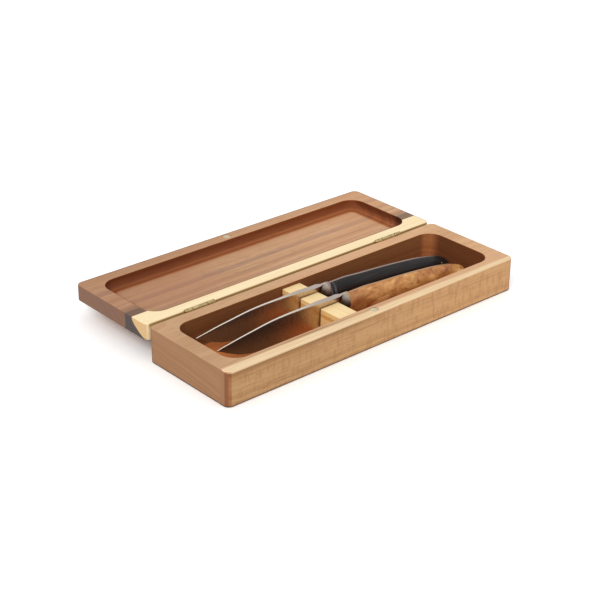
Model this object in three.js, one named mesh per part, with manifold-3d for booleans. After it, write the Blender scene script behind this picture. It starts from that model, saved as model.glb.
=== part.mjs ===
// Wooden knife display case, open flat, holding two steak knives on edge.
// Millimetres. +X runs along the case to the right, +Y to the back where the
// lid hinges, +Z up. The origin is the middle of the tray's flat bottom face.

import * as THREE from 'three';
import { mergeVertices } from 'three/addons/utils/BufferGeometryUtils.js';
import Module from 'manifold-3d';

const wasm = await Module();
wasm.setup();

// Case body
const caseWidth = 82;
const trayHeight = 25.5;
const sideWall = 10;
const endWall = 12.2;
const trayFloor = 3.5;
const lidPanel = 4.7;
const outerCornerRadius = 4.5;
const pocketCornerRadius = 12;
const rimRounding = 0.8;
const baseRounding = 0.6;
const trayPocketRounding = 0.5;
const lidPocketRounding = 0.5;
const lidCove = 5.3;

// Clearances
const fitGap = 0.3;
const magnetGap = 0.15;
const rimGap = 0.3;
const screwSink = 0.1;

// Hinges, one set in from each end of the case and both a little to the left
const hingeLength = 25;
const hingeInset = 44.5;
const hingeShift = -1;
const endKnuckle = 5.8;
const knuckleGap = 0.6;
const knuckleRadius = 1.5;
const hingePinRadius = 0.6;
const hingePinDome = 0.4;
const leafThickness = 1;
const leafHeight = 8;
const leafCorner = 1;
const foldGap = 0.3;
const screwFromLeafEnd = 5;
const screwDrop = 4.8;
const screwHeadRadius = 1.6;
const screwLand = 0.2;
const screwShankRadius = 0.9;
const screwLength = 7.5;
const screwPoint = 1.5;
const screwSlotWidth = 0.5;
const screwSlotDepth = 0.35;

// Magnets near the middle of the two front rims
const magnetRadius = 3;
const magnetThickness = 3;
const magnetShift = -2.5;

// Blade. Each row: share of the length from the point, then the heights of the
// spine and the edge as shares of the blade's height, and the share of its thickness.
const bladeLength = 98.6;
const bladeHeight = 19.8;
const bladeThickness = 2.4;
const edgeThickness = 0.3;
const bladeShares = [
  [0, 0.64, 0.615, 0.35],
  [0.04, 0.68, 0.515, 0.5],
  [0.1, 0.73, 0.365, 0.62],
  [0.17, 0.79, 0.21, 0.7],
  [0.275, 0.86, 0.075, 0.78],
  [0.45, 0.965, 0.01, 0.87],
  [0.63, 1, 0, 0.94],
  [0.81, 1, 0, 1],
  [0.99, 0.97, 0, 1],
];

// Neck and bolster. Heights are above the edge's heel. Each swell row: share of the
// bolster's length, then the share of the handle's half width that it has reached.
const neckLength = 4.8;
const neckTop = 19;
const heelRise = 2.2;
const bolsterLength = 8;
const bolsterTop = 18.6;
const bolsterLow = 2.3;
const swellShares = [[0.12, 0.5], [0.3, 0.78], [0.6, 0.94], [1, 1]];

// The joint between bolster and handle leans back at the top. The lean grows along the
// bolster, holds over the beads and fades out along the handle.
const jointLean = THREE.MathUtils.degToRad(20);
const leanReach = 24;

// Handle. Each row: share of the length from the bolster, then how far the top and the
// bottom lie above the bolster's own, as shares of the bolster's height, and the share of
// the handle's half width.
const handleLength = 119.7;
const handleWidth = 13;
const handleShares = [
  [0, -0.005, 0.01, 0.86],
  [0.11, 0, -0.06, 0.91],
  [0.27, -0.08, -0.13, 0.97],
  [0.437, -0.165, -0.18, 1],
  [0.604, -0.275, -0.265, 0.985],
  [0.78, -0.44, -0.35, 0.97],
  [0.889, -0.61, -0.39, 0.95],
  [0.952, -0.775, -0.39, 0.88],
  [0.986, -0.96, -0.32, 0.65],
  [1, -1.12, -0.195, 0.34],
];
const tangThickness = 1.6;
const tangInset = 0.3;
const beadCount = 2;
const beadLength = 3.7;
const beadDepth = 0.7;

// What holds the scales to the tang: two dowels that end inside the scales, and near the
// butt a thin pin through both. Shares are of the handle's length.
const dowelRadius = 1.6;
const dowelReach = 3;
const frontDowelShare = 0.13;
const middleDowelShare = 0.5;
const buttPinRadius = 0.75;
const buttPinShare = 0.912;
const buttPinRise = 2;
const buttPinSink = 0.6;

// How the knives lie in the case
const pointRoom = 7.3;
const buttRoom = 1.9;
const knifeHeadroom = 5.4;
const handleRoom = 7.4;
const rowsShift = 3.3;
const rearKnifeTurn = THREE.MathUtils.degToRad(-1.1);

// Knife rest, a slotted block across the pocket
const restWidth = 16;
const restBelowRim = 2.5;
const restEdge = 0.5;
const slotPlay = 0.6;
const bolsterRoom = 0.4;

// Sizes that follow from the ones above
const bolsterStart = bladeLength + neckLength;
const bolsterEnd = bolsterStart + bolsterLength;
const handleStart = bolsterEnd + fitGap;
const knifeLength = handleStart + handleLength;
const bolsterHeight = bolsterTop - bolsterLow;
const handleDrop = -bolsterLow - bolsterHeight * Math.min(...handleShares.map(([, , low]) => low));
const slotFloor = trayFloor + handleDrop;
const slotWidth = bladeThickness + 2 * slotPlay;
const slotPitch = handleWidth + handleRoom;
const caseLength = 2 * endWall + pointRoom + knifeLength + buttRoom;
const pocketWidth = caseWidth - 2 * sideWall;
const lidHeight = lidPanel + slotFloor + fitGap + bladeHeight + knifeHeadroom - trayHeight - rimGap;
const bladeBackRow = rowsShift + slotPitch / 2;
const bladeFrontRow = rowsShift - slotPitch / 2;
const knifePointX = endWall + pointRoom - caseLength / 2;
const restCentreX = knifePointX + bolsterStart - bolsterRoom - restWidth / 2;
const axisY = caseWidth / 2 + leafThickness + foldGap / 2;
const axisZ = trayHeight + rimGap / 2;
const lidCentreY = caseWidth + 2 * leafThickness + foldGap;
const lidRimZ = 2 * axisZ - (trayHeight + rimGap);
const magnetFromFront = sideWall / 2;
const middleKnuckle = hingeLength - 2 * endKnuckle - 2 * knuckleGap;
const screwSpacing = hingeLength - 2 * screwFromLeafEnd;
const screwHeadDepth = leafThickness - screwSink - screwLand;
const recessEnd = hingePinDome + fitGap;

// Materials
const walnutTray = new THREE.MeshStandardMaterial({ color: 0xc39a70, roughness: 0.6, metalness: 0 });
const walnutLid = new THREE.MeshStandardMaterial({ color: 0xb78f70, roughness: 0.6, metalness: 0 });
const paleWood = new THREE.MeshStandardMaterial({ color: 0xf0cf8e, roughness: 0.6, metalness: 0 });
const brass = new THREE.MeshStandardMaterial({ color: 0xc3a05a, roughness: 0.35, metalness: 1 });
const steel = new THREE.MeshStandardMaterial({ color: 0xb9b6b0, roughness: 0.3, metalness: 1 });
const magnetSteel = new THREE.MeshStandardMaterial({ color: 0xc9c6c0, roughness: 0.25, metalness: 1 });
const blackHandle = new THREE.MeshStandardMaterial({ color: 0x1d1b1c, roughness: 0.35, metalness: 0 });
const burlHandle = new THREE.MeshStandardMaterial({ color: 0xb0703a, roughness: 0.45, metalness: 0 });

// A closed geometry as a solid that can be cut and joined
function toSolid(geometry) {
  const bare = geometry.clone();
  bare.deleteAttribute('normal');
  bare.deleteAttribute('uv');
  const merged = mergeVertices(bare, 1e-4);
  const vertProperties = new Float32Array(merged.attributes.position.array);
  const triVerts = new Uint32Array(merged.index.array);
  return new wasm.Manifold(new wasm.Mesh({ numProp: 3, vertProperties, triVerts }));
}

function toGeometry(solid) {
  const { vertProperties, triVerts } = solid.getMesh();
  const geometry = new THREE.BufferGeometry();
  geometry.setAttribute('position', new THREE.BufferAttribute(vertProperties, 3));
  geometry.setIndex(new THREE.BufferAttribute(triVerts, 1));
  geometry.computeVertexNormals();
  return geometry;
}

function joinAndCut(joined, cuts) {
  const whole = joined.map(toSolid).reduce((sum, solid) => sum.add(solid));
  return toGeometry(cuts.map(toSolid).reduce((rest, solid) => rest.subtract(solid), whole));
}

// A skin over a row of rings with the same number of points, closed at both ends
function loft(rings) {
  const count = rings[0].length;
  const positions = rings.flat().flatMap((point) => [point.x, point.y, point.z]);
  const indices = [];
  for (let ring = 0; ring + 1 < rings.length; ring += 1) {
    for (let k = 0; k < count; k += 1) {
      const a = ring * count + k;
      const b = ring * count + ((k + 1) % count);
      indices.push(a, b, b + count, a, b + count, a + count);
    }
  }
  const last = (rings.length - 1) * count;
  for (let k = 1; k + 1 < count; k += 1) {
    indices.push(0, k + 1, k, last, last + k, last + k + 1);
  }
  if (signedVolume(positions, indices) < 0) {
    indices.reverse();
  }
  const geometry = new THREE.BufferGeometry();
  geometry.setAttribute('position', new THREE.Float32BufferAttribute(positions, 3));
  geometry.setIndex(indices);
  geometry.computeVertexNormals();
  return geometry;
}

function signedVolume(positions, indices) {
  const corner = (index) => new THREE.Vector3().fromArray(positions, 3 * index);
  let volume = 0;
  for (let k = 0; k < indices.length; k += 3) {
    const [a, b, c] = [indices[k], indices[k + 1], indices[k + 2]].map(corner);
    volume += a.dot(b.cross(c)) / 6;
  }
  return volume;
}

// One level ring with round corners, drawn in or out from a nominal rectangle
function roundedRing({ length, width, radius }, inset, height) {
  const arcSteps = 6;
  const cornerRadius = radius - inset;
  const reachX = length / 2 - inset - cornerRadius;
  const reachY = width / 2 - inset - cornerRadius;
  const corners = [[reachX, reachY], [-reachX, reachY], [-reachX, -reachY], [reachX, -reachY]];
  return corners.flatMap(([x, y], quarter) => Array.from({ length: arcSteps + 1 }, (_, step) => {
    const angle = (quarter + step / arcSteps) * Math.PI / 2;
    return new THREE.Vector3(x + cornerRadius * Math.cos(angle), y + cornerRadius * Math.sin(angle), height);
  }));
}

// A block with a routed pocket: its skin runs up the outside, over the rim and down inside
function routedBlock({ height, floor, easing, cove }) {
  const outside = { length: caseLength, width: caseWidth, radius: outerCornerRadius };
  const pocket = { length: caseLength - 2 * endWall, width: pocketWidth, radius: pocketCornerRadius };
  const steps = 3;
  const turn = (step) => step / steps * Math.PI / 2;
  const stepList = Array.from({ length: steps + 1 }, (_, step) => turn(step));
  const rings = [
    ...stepList.map((a) => roundedRing(outside, baseRounding * (1 - Math.sin(a)),
      baseRounding * (1 - Math.cos(a)))),
    ...stepList.map((a) => roundedRing(outside, rimRounding * (1 - Math.cos(a)),
      height - rimRounding * (1 - Math.sin(a)))),
    ...stepList.map((a) => roundedRing(pocket, -easing * (1 - Math.sin(a)),
      height - easing * (1 - Math.cos(a)))),
  ];
  const sweep = Math.min(cove, height - floor - 1.1 * easing);
  if (cove > 0) {
    rings.push(...stepList.map((a) => roundedRing(pocket, sweep * (1 - Math.cos(a)),
      floor + sweep * (1 - Math.sin(a)))));
  } else {
    rings.push(roundedRing(pocket, 0, floor));
  }
  return loft(rings);
}

function vector2List(points) {
  return points.map(([x, y]) => new THREE.Vector2(x, y));
}

// A plain cylinder along X or Z from its middle
function rod(radius, length, segments, along) {
  const geometry = new THREE.CylinderGeometry(radius, radius, length, segments);
  return along === 'x' ? geometry.rotateZ(Math.PI / 2) : geometry.rotateX(Math.PI / 2);
}

function addMesh(group, name, geometry, material) {
  const mesh = new THREE.Mesh(geometry, material);
  mesh.name = name;
  group.add(mesh);
  return mesh;
}

// Both wooden halves share the seats for hinges, screws and magnet, in the lid's or tray's own frame:
// rim height given, back face at backY, with the outward direction of that face.
function seatCuts(rimHeight, backY, outward) {
  const cuts = [];
  const recessDepth = knuckleRadius + fitGap - (leafThickness + foldGap / 2);
  const recessHeight = knuckleRadius + fitGap;
  const recessLength = hingeLength + 2 * recessEnd;
  const holeRadius = screwShankRadius + fitGap;
  const holeDepth = screwLength + fitGap - leafThickness;
  const spare = 2;
  for (const side of [-1, 1]) {
    const hingeX = side * (caseLength / 2 - hingeInset) + hingeShift;
    const recess = new THREE.BoxGeometry(recessLength, recessDepth + spare, recessHeight + spare);
    recess.translate(hingeX, backY + outward * (spare - recessDepth) / 2,
      rimHeight + rimGap / 2 + (spare - recessHeight) / 2);
    cuts.push(recess);
    for (const end of [-1, 1]) {
      const hole = new THREE.CylinderGeometry(holeRadius, holeRadius, holeDepth + spare, 12);
      hole.translate(hingeX + end * screwSpacing / 2, backY + outward * (spare - holeDepth) / 2,
        rimHeight + rimGap / 2 - screwDrop);
      cuts.push(hole);
    }
  }
  const boreDepth = magnetThickness + 2 * magnetGap;
  const bore = rod(magnetRadius + fitGap, boreDepth + spare, 24, 'z');
  const boreY = backY - outward * (caseWidth - magnetFromFront);
  bore.translate(magnetShift, boreY, rimHeight + (spare - boreDepth) / 2);
  cuts.push(bore);
  return cuts;
}

function buildTray() {
  const block = routedBlock({ height: trayHeight, floor: trayFloor, easing: trayPocketRounding, cove: 0 });
  return joinAndCut([block], seatCuts(trayHeight, caseWidth / 2, 1));
}

function buildLid() {
  const block = routedBlock({ height: lidHeight, floor: lidPanel, easing: lidPocketRounding, cove: lidCove });
  return joinAndCut([block], seatCuts(lidHeight, -caseWidth / 2, -1));
}

// The slotted block, drawn from its end and pushed along X
function buildKnifeRest() {
  const halfSpan = pocketWidth / 2 - fitGap;
  const top = trayHeight - restBelowRim;
  const outline = new THREE.Shape();
  outline.moveTo(-halfSpan, trayFloor);
  outline.lineTo(halfSpan, trayFloor);
  outline.lineTo(halfSpan, top);
  for (const row of [bladeBackRow, bladeFrontRow]) {
    outline.lineTo(row + slotWidth / 2, top);
    outline.lineTo(row + slotWidth / 2, slotFloor);
    outline.lineTo(row - slotWidth / 2, slotFloor);
    outline.lineTo(row - slotWidth / 2, top);
  }
  outline.lineTo(-halfSpan, top);
  outline.closePath();
  const geometry = new THREE.ExtrudeGeometry(outline, {
    depth: restWidth - 2 * restEdge,
    bevelEnabled: true,
    bevelThickness: restEdge,
    bevelSize: restEdge,
    bevelOffset: -restEdge,
    bevelSegments: 2,
  });
  geometry.translate(0, 0, restEdge - restWidth / 2);
  geometry.applyMatrix4(new THREE.Matrix4().makeBasis(
    new THREE.Vector3(0, 1, 0), new THREE.Vector3(0, 0, 1), new THREE.Vector3(1, 0, 0)));
  return joinAndCut([geometry], []);
}

// Hinge parts, around the pin's axis with the tray on the -Y side
const knuckleJoint = middleKnuckle / 2 + knuckleGap;
const middleSpans = [[-middleKnuckle / 2, middleKnuckle / 2]];
const endSpans = [[-hingeLength / 2, -knuckleJoint], [knuckleJoint, hingeLength / 2]];

function knuckles(spans, radius, extra) {
  return spans.map(([from, to]) => (
    rod(radius, to - from + 2 * extra, 20, 'x').translate((from + to) / 2, 0, 0)));
}

// Outlines to be turned about Y, from the low end up
function screwOutline() {
  return [[0, -screwLength], [screwShankRadius, screwPoint - screwLength],
    [screwShankRadius, -screwHeadDepth], [screwHeadRadius, 0], [0, 0]];
}

function sinkOutline() {
  const shank = screwShankRadius + fitGap;
  const head = screwHeadRadius + fitGap;
  return [[0, -2 * leafThickness], [shank, -2 * leafThickness], [shank, -screwHeadDepth], [head, 0],
    [head, fitGap], [0, fitGap]];
}

function buildLeaf(ownSpans, otherSpans) {
  const half = hingeLength / 2;
  const plate = new THREE.Shape();
  plate.moveTo(-half, -fitGap / 2);
  plate.lineTo(-half, leafCorner - leafHeight);
  plate.absarc(leafCorner - half, leafCorner - leafHeight, leafCorner, Math.PI, 1.5 * Math.PI);
  plate.absarc(half - leafCorner, leafCorner - leafHeight, leafCorner, 1.5 * Math.PI, 2 * Math.PI);
  plate.lineTo(half, -fitGap / 2);
  plate.closePath();
  const plateBody = new THREE.ExtrudeGeometry(plate, {
    depth: leafThickness,
    bevelEnabled: false,
    curveSegments: 4,
  });
  plateBody.rotateX(Math.PI / 2).translate(0, -foldGap / 2, 0);
  const cuts = [
    ...knuckles(otherSpans, knuckleRadius + fitGap, fitGap),
    rod(hingePinRadius + fitGap, 2 * hingeLength, 16, 'x'),
  ];
  for (const end of [-1, 1]) {
    const sink = new THREE.LatheGeometry(vector2List(sinkOutline()), 16);
    sink.translate(end * screwSpacing / 2, -foldGap / 2 - screwSink, -screwDrop);
    cuts.push(sink);
  }
  return joinAndCut([plateBody, ...knuckles(ownSpans, knuckleRadius, 0)], cuts);
}

function buildHingePin() {
  const half = hingeLength / 2;
  const dome = (turn) => [hingePinRadius * Math.cos(turn), half + hingePinDome * Math.sin(turn)];
  const upper = [0, Math.PI / 6, Math.PI / 3].map(dome);
  const lower = upper.map(([x, y]) => [x, -y]).reverse();
  const outline = [[0, -half - hingePinDome], ...lower, ...upper, [0, half + hingePinDome]];
  return joinAndCut([new THREE.LatheGeometry(vector2List(outline), 16).rotateZ(Math.PI / 2)], []);
}

function buildScrew() {
  const body = new THREE.LatheGeometry(vector2List(screwOutline()), 16);
  const slot = new THREE.BoxGeometry(4 * screwHeadRadius, 2 * screwSlotDepth, screwSlotWidth);
  return joinAndCut([body], [slot]);
}

function addHinge(trayGroup, lidGroup, side, hingeX) {
  const place = (mesh, x, y, z) => mesh.position.set(hingeX + x, axisY + y, axisZ + z);
  const trayLeaf = addMesh(trayGroup, `${side}_hinge_tray_leaf`, buildLeaf(middleSpans, endSpans), brass);
  place(trayLeaf, 0, 0, 0);
  place(addMesh(trayGroup, `${side}_hinge_pin`, buildHingePin(), brass), 0, 0, 0);
  const lidLeaf = addMesh(lidGroup, `${side}_hinge_lid_leaf`, buildLeaf(endSpans, middleSpans), brass);
  lidLeaf.rotation.z = Math.PI;
  place(lidLeaf, 0, 0, 0);
  for (const [half, group, outward] of [['tray', trayGroup, 1], ['lid', lidGroup, -1]]) {
    for (const [end, sign] of [['outer', Math.sign(hingeX)], ['inner', -Math.sign(hingeX)]]) {
      const screw = addMesh(group, `${side}_hinge_${half}_screw_${end}`, buildScrew(), brass);
      screw.rotation.z = outward < 0 ? Math.PI : 0;
      place(screw, sign * screwSpacing / 2, -outward * (foldGap / 2 + screwSink), -screwDrop);
    }
  }
}

function buildMagnet() {
  return joinAndCut([rod(magnetRadius, magnetThickness, 24, 'z')], []);
}

// Knives, with X from the point to the butt and Z up from the heel of the edge

// A point at x and a height, moved along the knife by the joint's lean
function leaned(x, across, height) {
  const grown = THREE.MathUtils.smoothstep(x, bolsterStart, bolsterEnd);
  const gone = THREE.MathUtils.smoothstep(x, handleStart + beadCount * beadLength, handleStart + leanReach);
  const shift = Math.tan(jointLean) * (height - (bolsterTop + bolsterLow) / 2);
  return new THREE.Vector3(x + shift * grown * (1 - gone), across, height);
}

// A ring across the knife between a top and a low height, with six half widths down each side
function sectionRing(x, top, low, halfWidths) {
  const shares = [0, 0.12, 0.35, 0.65, 0.88, 1];
  const side = (sign) => halfWidths.map((half, k) => (
    leaned(x, sign * half, THREE.MathUtils.lerp(top, low, shares[k]))));
  return [...side(1), ...side(-1).reverse()];
}

// The handle's outline as smooth lines through its rows
function handleStations(steps) {
  const at = (share) => handleStart + share * handleLength;
  const line = (pick) => new THREE.SplineCurve(vector2List(handleShares.map(pick)));
  const topLine = line(([share, top]) => [at(share), bolsterTop + top * bolsterHeight]);
  const lowLine = line(([share, , low]) => [at(share), bolsterLow + low * bolsterHeight]);
  const halfLine = line(([share, , , half]) => [at(share), half * handleWidth / 2]);
  return Array.from({ length: steps + 1 }, (_, step) => {
    const [top, low, half] = [topLine, lowLine, halfLine].map((curve) => curve.getPoint(step / steps));
    return { x: top.x, top: top.y, low: low.y, half: half.y };
  });
}

function handleAt(x) {
  const stations = handleStations(60);
  const next = Math.max(stations.findIndex((station) => station.x >= x), 1);
  const [before, after] = [stations[next - 1], stations[next]];
  const between = (key) => THREE.MathUtils.mapLinear(x, before.x, after.x, before[key], after[key]);
  return { x, top: between('top'), low: between('low'), half: between('half') };
}

// Blade, bolster and full tang, forged as one
function buildBlade() {
  const rings = bladeShares.map(([share, spine, edge, thickness]) => {
    const half = thickness * bladeThickness / 2;
    const thin = edgeThickness / 2;
    const ground = [half, half, 0.9 * half, 0.6 * half, 0.3 * (half + thin), thin];
    return sectionRing(share * bladeLength, spine * bladeHeight, edge * bladeHeight, ground);
  });
  const neckHalf = bladeThickness / 2;
  rings.push(sectionRing(bladeLength, neckTop, heelRise, [...Array(5).fill(neckHalf), 0.8 * neckHalf]));
  rings.push(sectionRing(bolsterStart, neckTop, bolsterLow, Array(6).fill(neckHalf)));
  const bolsterHalf = handleAt(handleStart).half;
  const roundShares = [0.2, 0.52, 0.9, 1, 0.86, 0.5];
  for (const [share, swell] of swellShares) {
    const widths = roundShares.map((round) => Math.max(round * swell * bolsterHalf, neckHalf));
    const top = THREE.MathUtils.lerp(neckTop, bolsterTop, share);
    rings.push(sectionRing(bolsterStart + share * bolsterLength, top, bolsterLow, widths));
  }
  const tang = Array(6).fill(tangThickness / 2);
  rings.push(sectionRing(bolsterEnd, bolsterTop - tangInset, bolsterLow + tangInset, tang));
  for (const { x, top, low } of handleStations(18)) {
    rings.push(sectionRing(x, top, low + tangInset / 2, tang));
  }
  return cutFixingHoles(loft(rings));
}

// One half of a handle, flat against the tang, with turned beads at its front where beaded
function buildScale(sign, beaded) {
  const inner = tangThickness / 2 + fitGap;
  const bulgeShares = [0, 0.3, 0.62, 0.86, 0.97, 1, 0.93, 0.72, 0.36, 0];
  const dropShares = [0, 0.075, 0.16, 0.27, 0.4, 0.56, 0.75, 0.88, 0.965, 1];
  const { lerp } = THREE.MathUtils;
  const ring = ({ x, top, low, half }) => bulgeShares.map((share, k) => (
    leaned(x, sign * lerp(inner, half, share), lerp(top, low, dropShares[k]))));
  const stations = handleStations(18);
  if (!beaded) {
    return cutFixingHoles(loft(stations.map(ring)));
  }
  const beadSteps = 4;
  const beadedEnd = handleStart + beadCount * beadLength;
  const turned = Array.from({ length: beadSteps * beadCount + 1 }, (_, step) => {
    const { x, top, low, half } = handleAt(handleStart + step / beadSteps * beadLength);
    const cut = beadDepth * (1 - Math.abs(Math.sin(step / beadSteps * Math.PI)));
    return { x, top: top - cut / 2, low: low + cut / 2, half: half - cut };
  });
  const plain = stations.filter(({ x }) => x > beadedEnd + beadLength / 4);
  return cutFixingHoles(loft([...turned, ...plain].map(ring)));
}

// The dowels and the pin, each with its half length and the half length of its hole
function fixings() {
  const on = (share) => handleAt(handleStart + share * handleLength);
  const middle = ({ top, low }) => (top + low) / 2;
  const dowelHalf = tangThickness / 2 + dowelReach;
  const dowel = (name, share) => ({ name, x: on(share).x, height: middle(on(share)), radius: dowelRadius,
    half: dowelHalf, hole: dowelHalf + fitGap });
  const butt = on(buttPinShare);
  return [
    dowel('front_dowel', frontDowelShare),
    dowel('middle_dowel', middleDowelShare),
    { name: 'butt_pin', x: butt.x, height: middle(butt) + buttPinRise, radius: buttPinRadius,
      half: butt.half - buttPinSink, hole: handleWidth },
  ];
}

function cutFixingHoles(geometry) {
  const holes = fixings().map(({ x, height, radius, hole }) => (
    new THREE.CylinderGeometry(radius + fitGap, radius + fitGap, 2 * hole, 16).translate(x, 0, height)));
  return joinAndCut([geometry], holes);
}

function addKnife(group, name, scaleMaterial, beaded) {
  addMesh(group, `${name}_blade`, buildBlade(), steel);
  addMesh(group, `${name}_near_scale`, buildScale(-1, beaded), scaleMaterial);
  addMesh(group, `${name}_far_scale`, buildScale(1, beaded), scaleMaterial);
  for (const fixing of fixings()) {
    const rodBody = new THREE.CylinderGeometry(fixing.radius, fixing.radius, 2 * fixing.half, 16);
    const material = fixing.name === 'butt_pin' ? brass : steel;
    const mesh = addMesh(group, `${name}_${fixing.name}`, joinAndCut([rodBody], []), material);
    mesh.position.set(fixing.x, 0, fixing.height);
  }
}

// The case
const displayCase = new THREE.Group();

const trayGroup = new THREE.Group();
addMesh(trayGroup, 'tray', buildTray(), walnutTray);
addMesh(trayGroup, 'knife_rest', buildKnifeRest(), paleWood).position.x = restCentreX;
const magnetSink = magnetGap + magnetThickness / 2;
const trayMagnet = addMesh(trayGroup, 'tray_magnet', buildMagnet(), magnetSteel);
trayMagnet.position.set(magnetShift, magnetFromFront - caseWidth / 2, trayHeight - magnetSink);

const lidGroup = new THREE.Group();
addMesh(lidGroup, 'lid', buildLid(), walnutLid).position.set(0, lidCentreY, lidRimZ - lidHeight);
const lidMagnet = addMesh(lidGroup, 'lid_magnet', buildMagnet(), magnetSteel);
lidMagnet.position.set(magnetShift, lidCentreY + caseWidth / 2 - magnetFromFront, lidRimZ - magnetSink);

addHinge(trayGroup, lidGroup, 'left', hingeInset - caseLength / 2 + hingeShift);
addHinge(trayGroup, lidGroup, 'right', caseLength / 2 - hingeInset + hingeShift);

// Each knife turns about the slot that holds its heel
function placeKnife(name, row, turn, material, beaded) {
  const pivot = new THREE.Group();
  pivot.position.set(restCentreX, row, slotFloor + fitGap);
  pivot.rotation.z = turn;
  const knife = new THREE.Group();
  knife.position.x = knifePointX - restCentreX;
  addKnife(knife, name, material, beaded);
  pivot.add(knife);
  return pivot;
}

displayCase.add(trayGroup, lidGroup);
displayCase.add(placeKnife('rear_knife', bladeBackRow, rearKnifeTurn, blackHandle, true));
displayCase.add(placeKnife('front_knife', bladeFrontRow, 0, burlHandle, false));

export default displayCase;
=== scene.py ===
# Wooden display case lying open flat: a routed tray, a routed lid on two small brass
# hinges, and two steak knives held on edge in a pale slotted rest.

import math
import bpy
import numpy as np
from mathutils import Matrix, Vector


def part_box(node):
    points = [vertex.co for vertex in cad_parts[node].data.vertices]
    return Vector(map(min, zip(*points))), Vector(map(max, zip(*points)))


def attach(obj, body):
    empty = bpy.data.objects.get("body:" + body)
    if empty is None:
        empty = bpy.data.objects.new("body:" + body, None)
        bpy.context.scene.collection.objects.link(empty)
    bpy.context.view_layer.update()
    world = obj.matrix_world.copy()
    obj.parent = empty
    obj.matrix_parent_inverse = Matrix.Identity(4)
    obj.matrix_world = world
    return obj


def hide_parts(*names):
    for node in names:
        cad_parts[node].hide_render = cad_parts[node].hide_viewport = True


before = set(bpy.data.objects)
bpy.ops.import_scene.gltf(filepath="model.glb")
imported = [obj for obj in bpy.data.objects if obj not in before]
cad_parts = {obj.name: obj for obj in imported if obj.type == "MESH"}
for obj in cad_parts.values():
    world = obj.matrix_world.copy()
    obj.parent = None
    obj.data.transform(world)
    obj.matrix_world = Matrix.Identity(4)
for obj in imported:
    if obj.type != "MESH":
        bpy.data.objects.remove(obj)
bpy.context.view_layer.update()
mm = 0.001


# Shape helpers. Every shape is worked out in millimetres and scaled once.

def cadBox(node):
    lo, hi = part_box(node)
    return np.array(lo) / mm, np.array(hi) / mm


def smoothThrough(knots, values, at):
    # Cubic through the knots: on each span the two end values and their slopes are blended,
    # and a knot that is a peak or lies beside a flat run has no slope, so nothing overshoots
    knots, values, at = (np.asarray(part, float) for part in (knots, values, at))
    steps = np.diff(values) / np.diff(knots)
    slopes = np.gradient(values, knots)
    slopes[1:-1] *= steps[1:] * steps[:-1] > 0
    k = np.clip(np.searchsorted(knots, at) - 1, 0, len(knots) - 2)
    span = knots[k + 1] - knots[k]
    t = np.clip((at - knots[k]) / span, 0, 1)
    start = (2 * t**3 - 3 * t**2 + 1) * values[k] + (t**3 - 2 * t**2 + t) * span * slopes[k]
    end = (3 * t**2 - 2 * t**3) * values[k + 1] + (t**3 - t**2) * span * slopes[k + 1]
    return start + end


def smoothStep(value, low, high):
    # 0 below low, 1 above high, and 3t^2 - 2t^3 between them
    t = np.clip((value - low) / (high - low), 0, 1)
    return t * t * (3 - 2 * t)


def makeMesh(name, points, faces, sharpAngle=32):
    mesh = bpy.data.meshes.new(name)
    mesh.from_pydata((points * mm).tolist(), [], faces)
    mesh.update()
    piece = bpy.data.objects.new(name, mesh)
    bpy.context.scene.collection.objects.link(piece)
    shadeSoft(piece, sharpAngle)
    return piece


def shadeSoft(piece, sharpAngle=32):
    mesh = piece.data
    mesh.polygons.foreach_set("use_smooth", np.ones(len(mesh.polygons), bool))
    mesh.set_sharp_from_angle(angle=math.radians(sharpAngle))
    mesh.update()


def skin(name, rings, sharpAngle=32):
    # A closed skin: point (i, j) of the grid is point j of ring i. Neighbouring rings are
    # joined by quads and the first and last ring are closed by a flat face.
    count, around = rings.shape[:2]
    points = rings.reshape(-1, 3)
    i, j = np.meshgrid(np.arange(count - 1), np.arange(around), indexing="ij")
    a, b = i * around + j, i * around + (j + 1) % around
    quads = np.stack([a, b, b + around, a + around], -1).reshape(-1, 4)
    first, last = np.arange(around)[::-1], np.arange(around) + (count - 1) * around
    corners = points[quads]
    volume = np.einsum("ij,ij->i", corners[:, 0], np.cross(corners[:, 1], corners[:, 2])).sum()
    volume += np.einsum("ij,ij->i", corners[:, 0], np.cross(corners[:, 2], corners[:, 3])).sum()
    for cap in (first, last):
        fan = points[cap]
        volume += (fan[0] * np.cross(fan[1:-1], fan[2:])).sum()
    faces = quads.tolist() + [first.tolist(), last.tolist()]
    if volume < 0:
        faces = [face[::-1] for face in faces]
    return makeMesh(name, points, faces, sharpAngle)


def lathe(name, profile, axis, centre, steps=48):
    # Each profile point (radius, height) is carried round a circle: across = r cos a, side = r sin a
    radius, height = np.asarray(profile, float).T
    turn = np.linspace(0, 2 * math.pi, steps, endpoint=False)
    across = radius[:, None] * np.cos(turn)
    side = radius[:, None] * np.sin(turn)
    up = np.repeat(height[:, None], steps, 1)
    order = {"x": (up, across, side), "y": (side, up, across), "z": (across, side, up)}[axis]
    return skin(name, np.stack(order, -1) + np.asarray(centre, float))


def prism(name, outline, axis, low, high):
    # The outline is set at the low and at the high end and joined by straight sides
    a, b = np.asarray(outline, float).T
    ends = np.array([low, high], float)[:, None] + 0 * a
    a, b = np.broadcast_to(a, ends.shape), np.broadcast_to(b, ends.shape)
    order = {"x": (ends, a, b), "y": (a, ends, b), "z": (a, b, ends)}[axis]
    return skin(name, np.stack(order, -1))


def roundRect(length, width, radius, steps=12):
    # Four quarter circles: corner centre + radius (cos a, sin a), with straight runs between
    turn = np.linspace(0, math.pi / 2, steps + 1)
    quarter = np.arange(4)[:, None] * math.pi / 2 + turn
    reach = np.array([[1, 1], [-1, 1], [-1, -1], [1, -1]]) * [length / 2 - radius, width / 2 - radius]
    ring = reach[:, None] + radius * np.stack([np.cos(quarter), np.sin(quarter)], -1)
    return ring.reshape(-1, 2)


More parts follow.
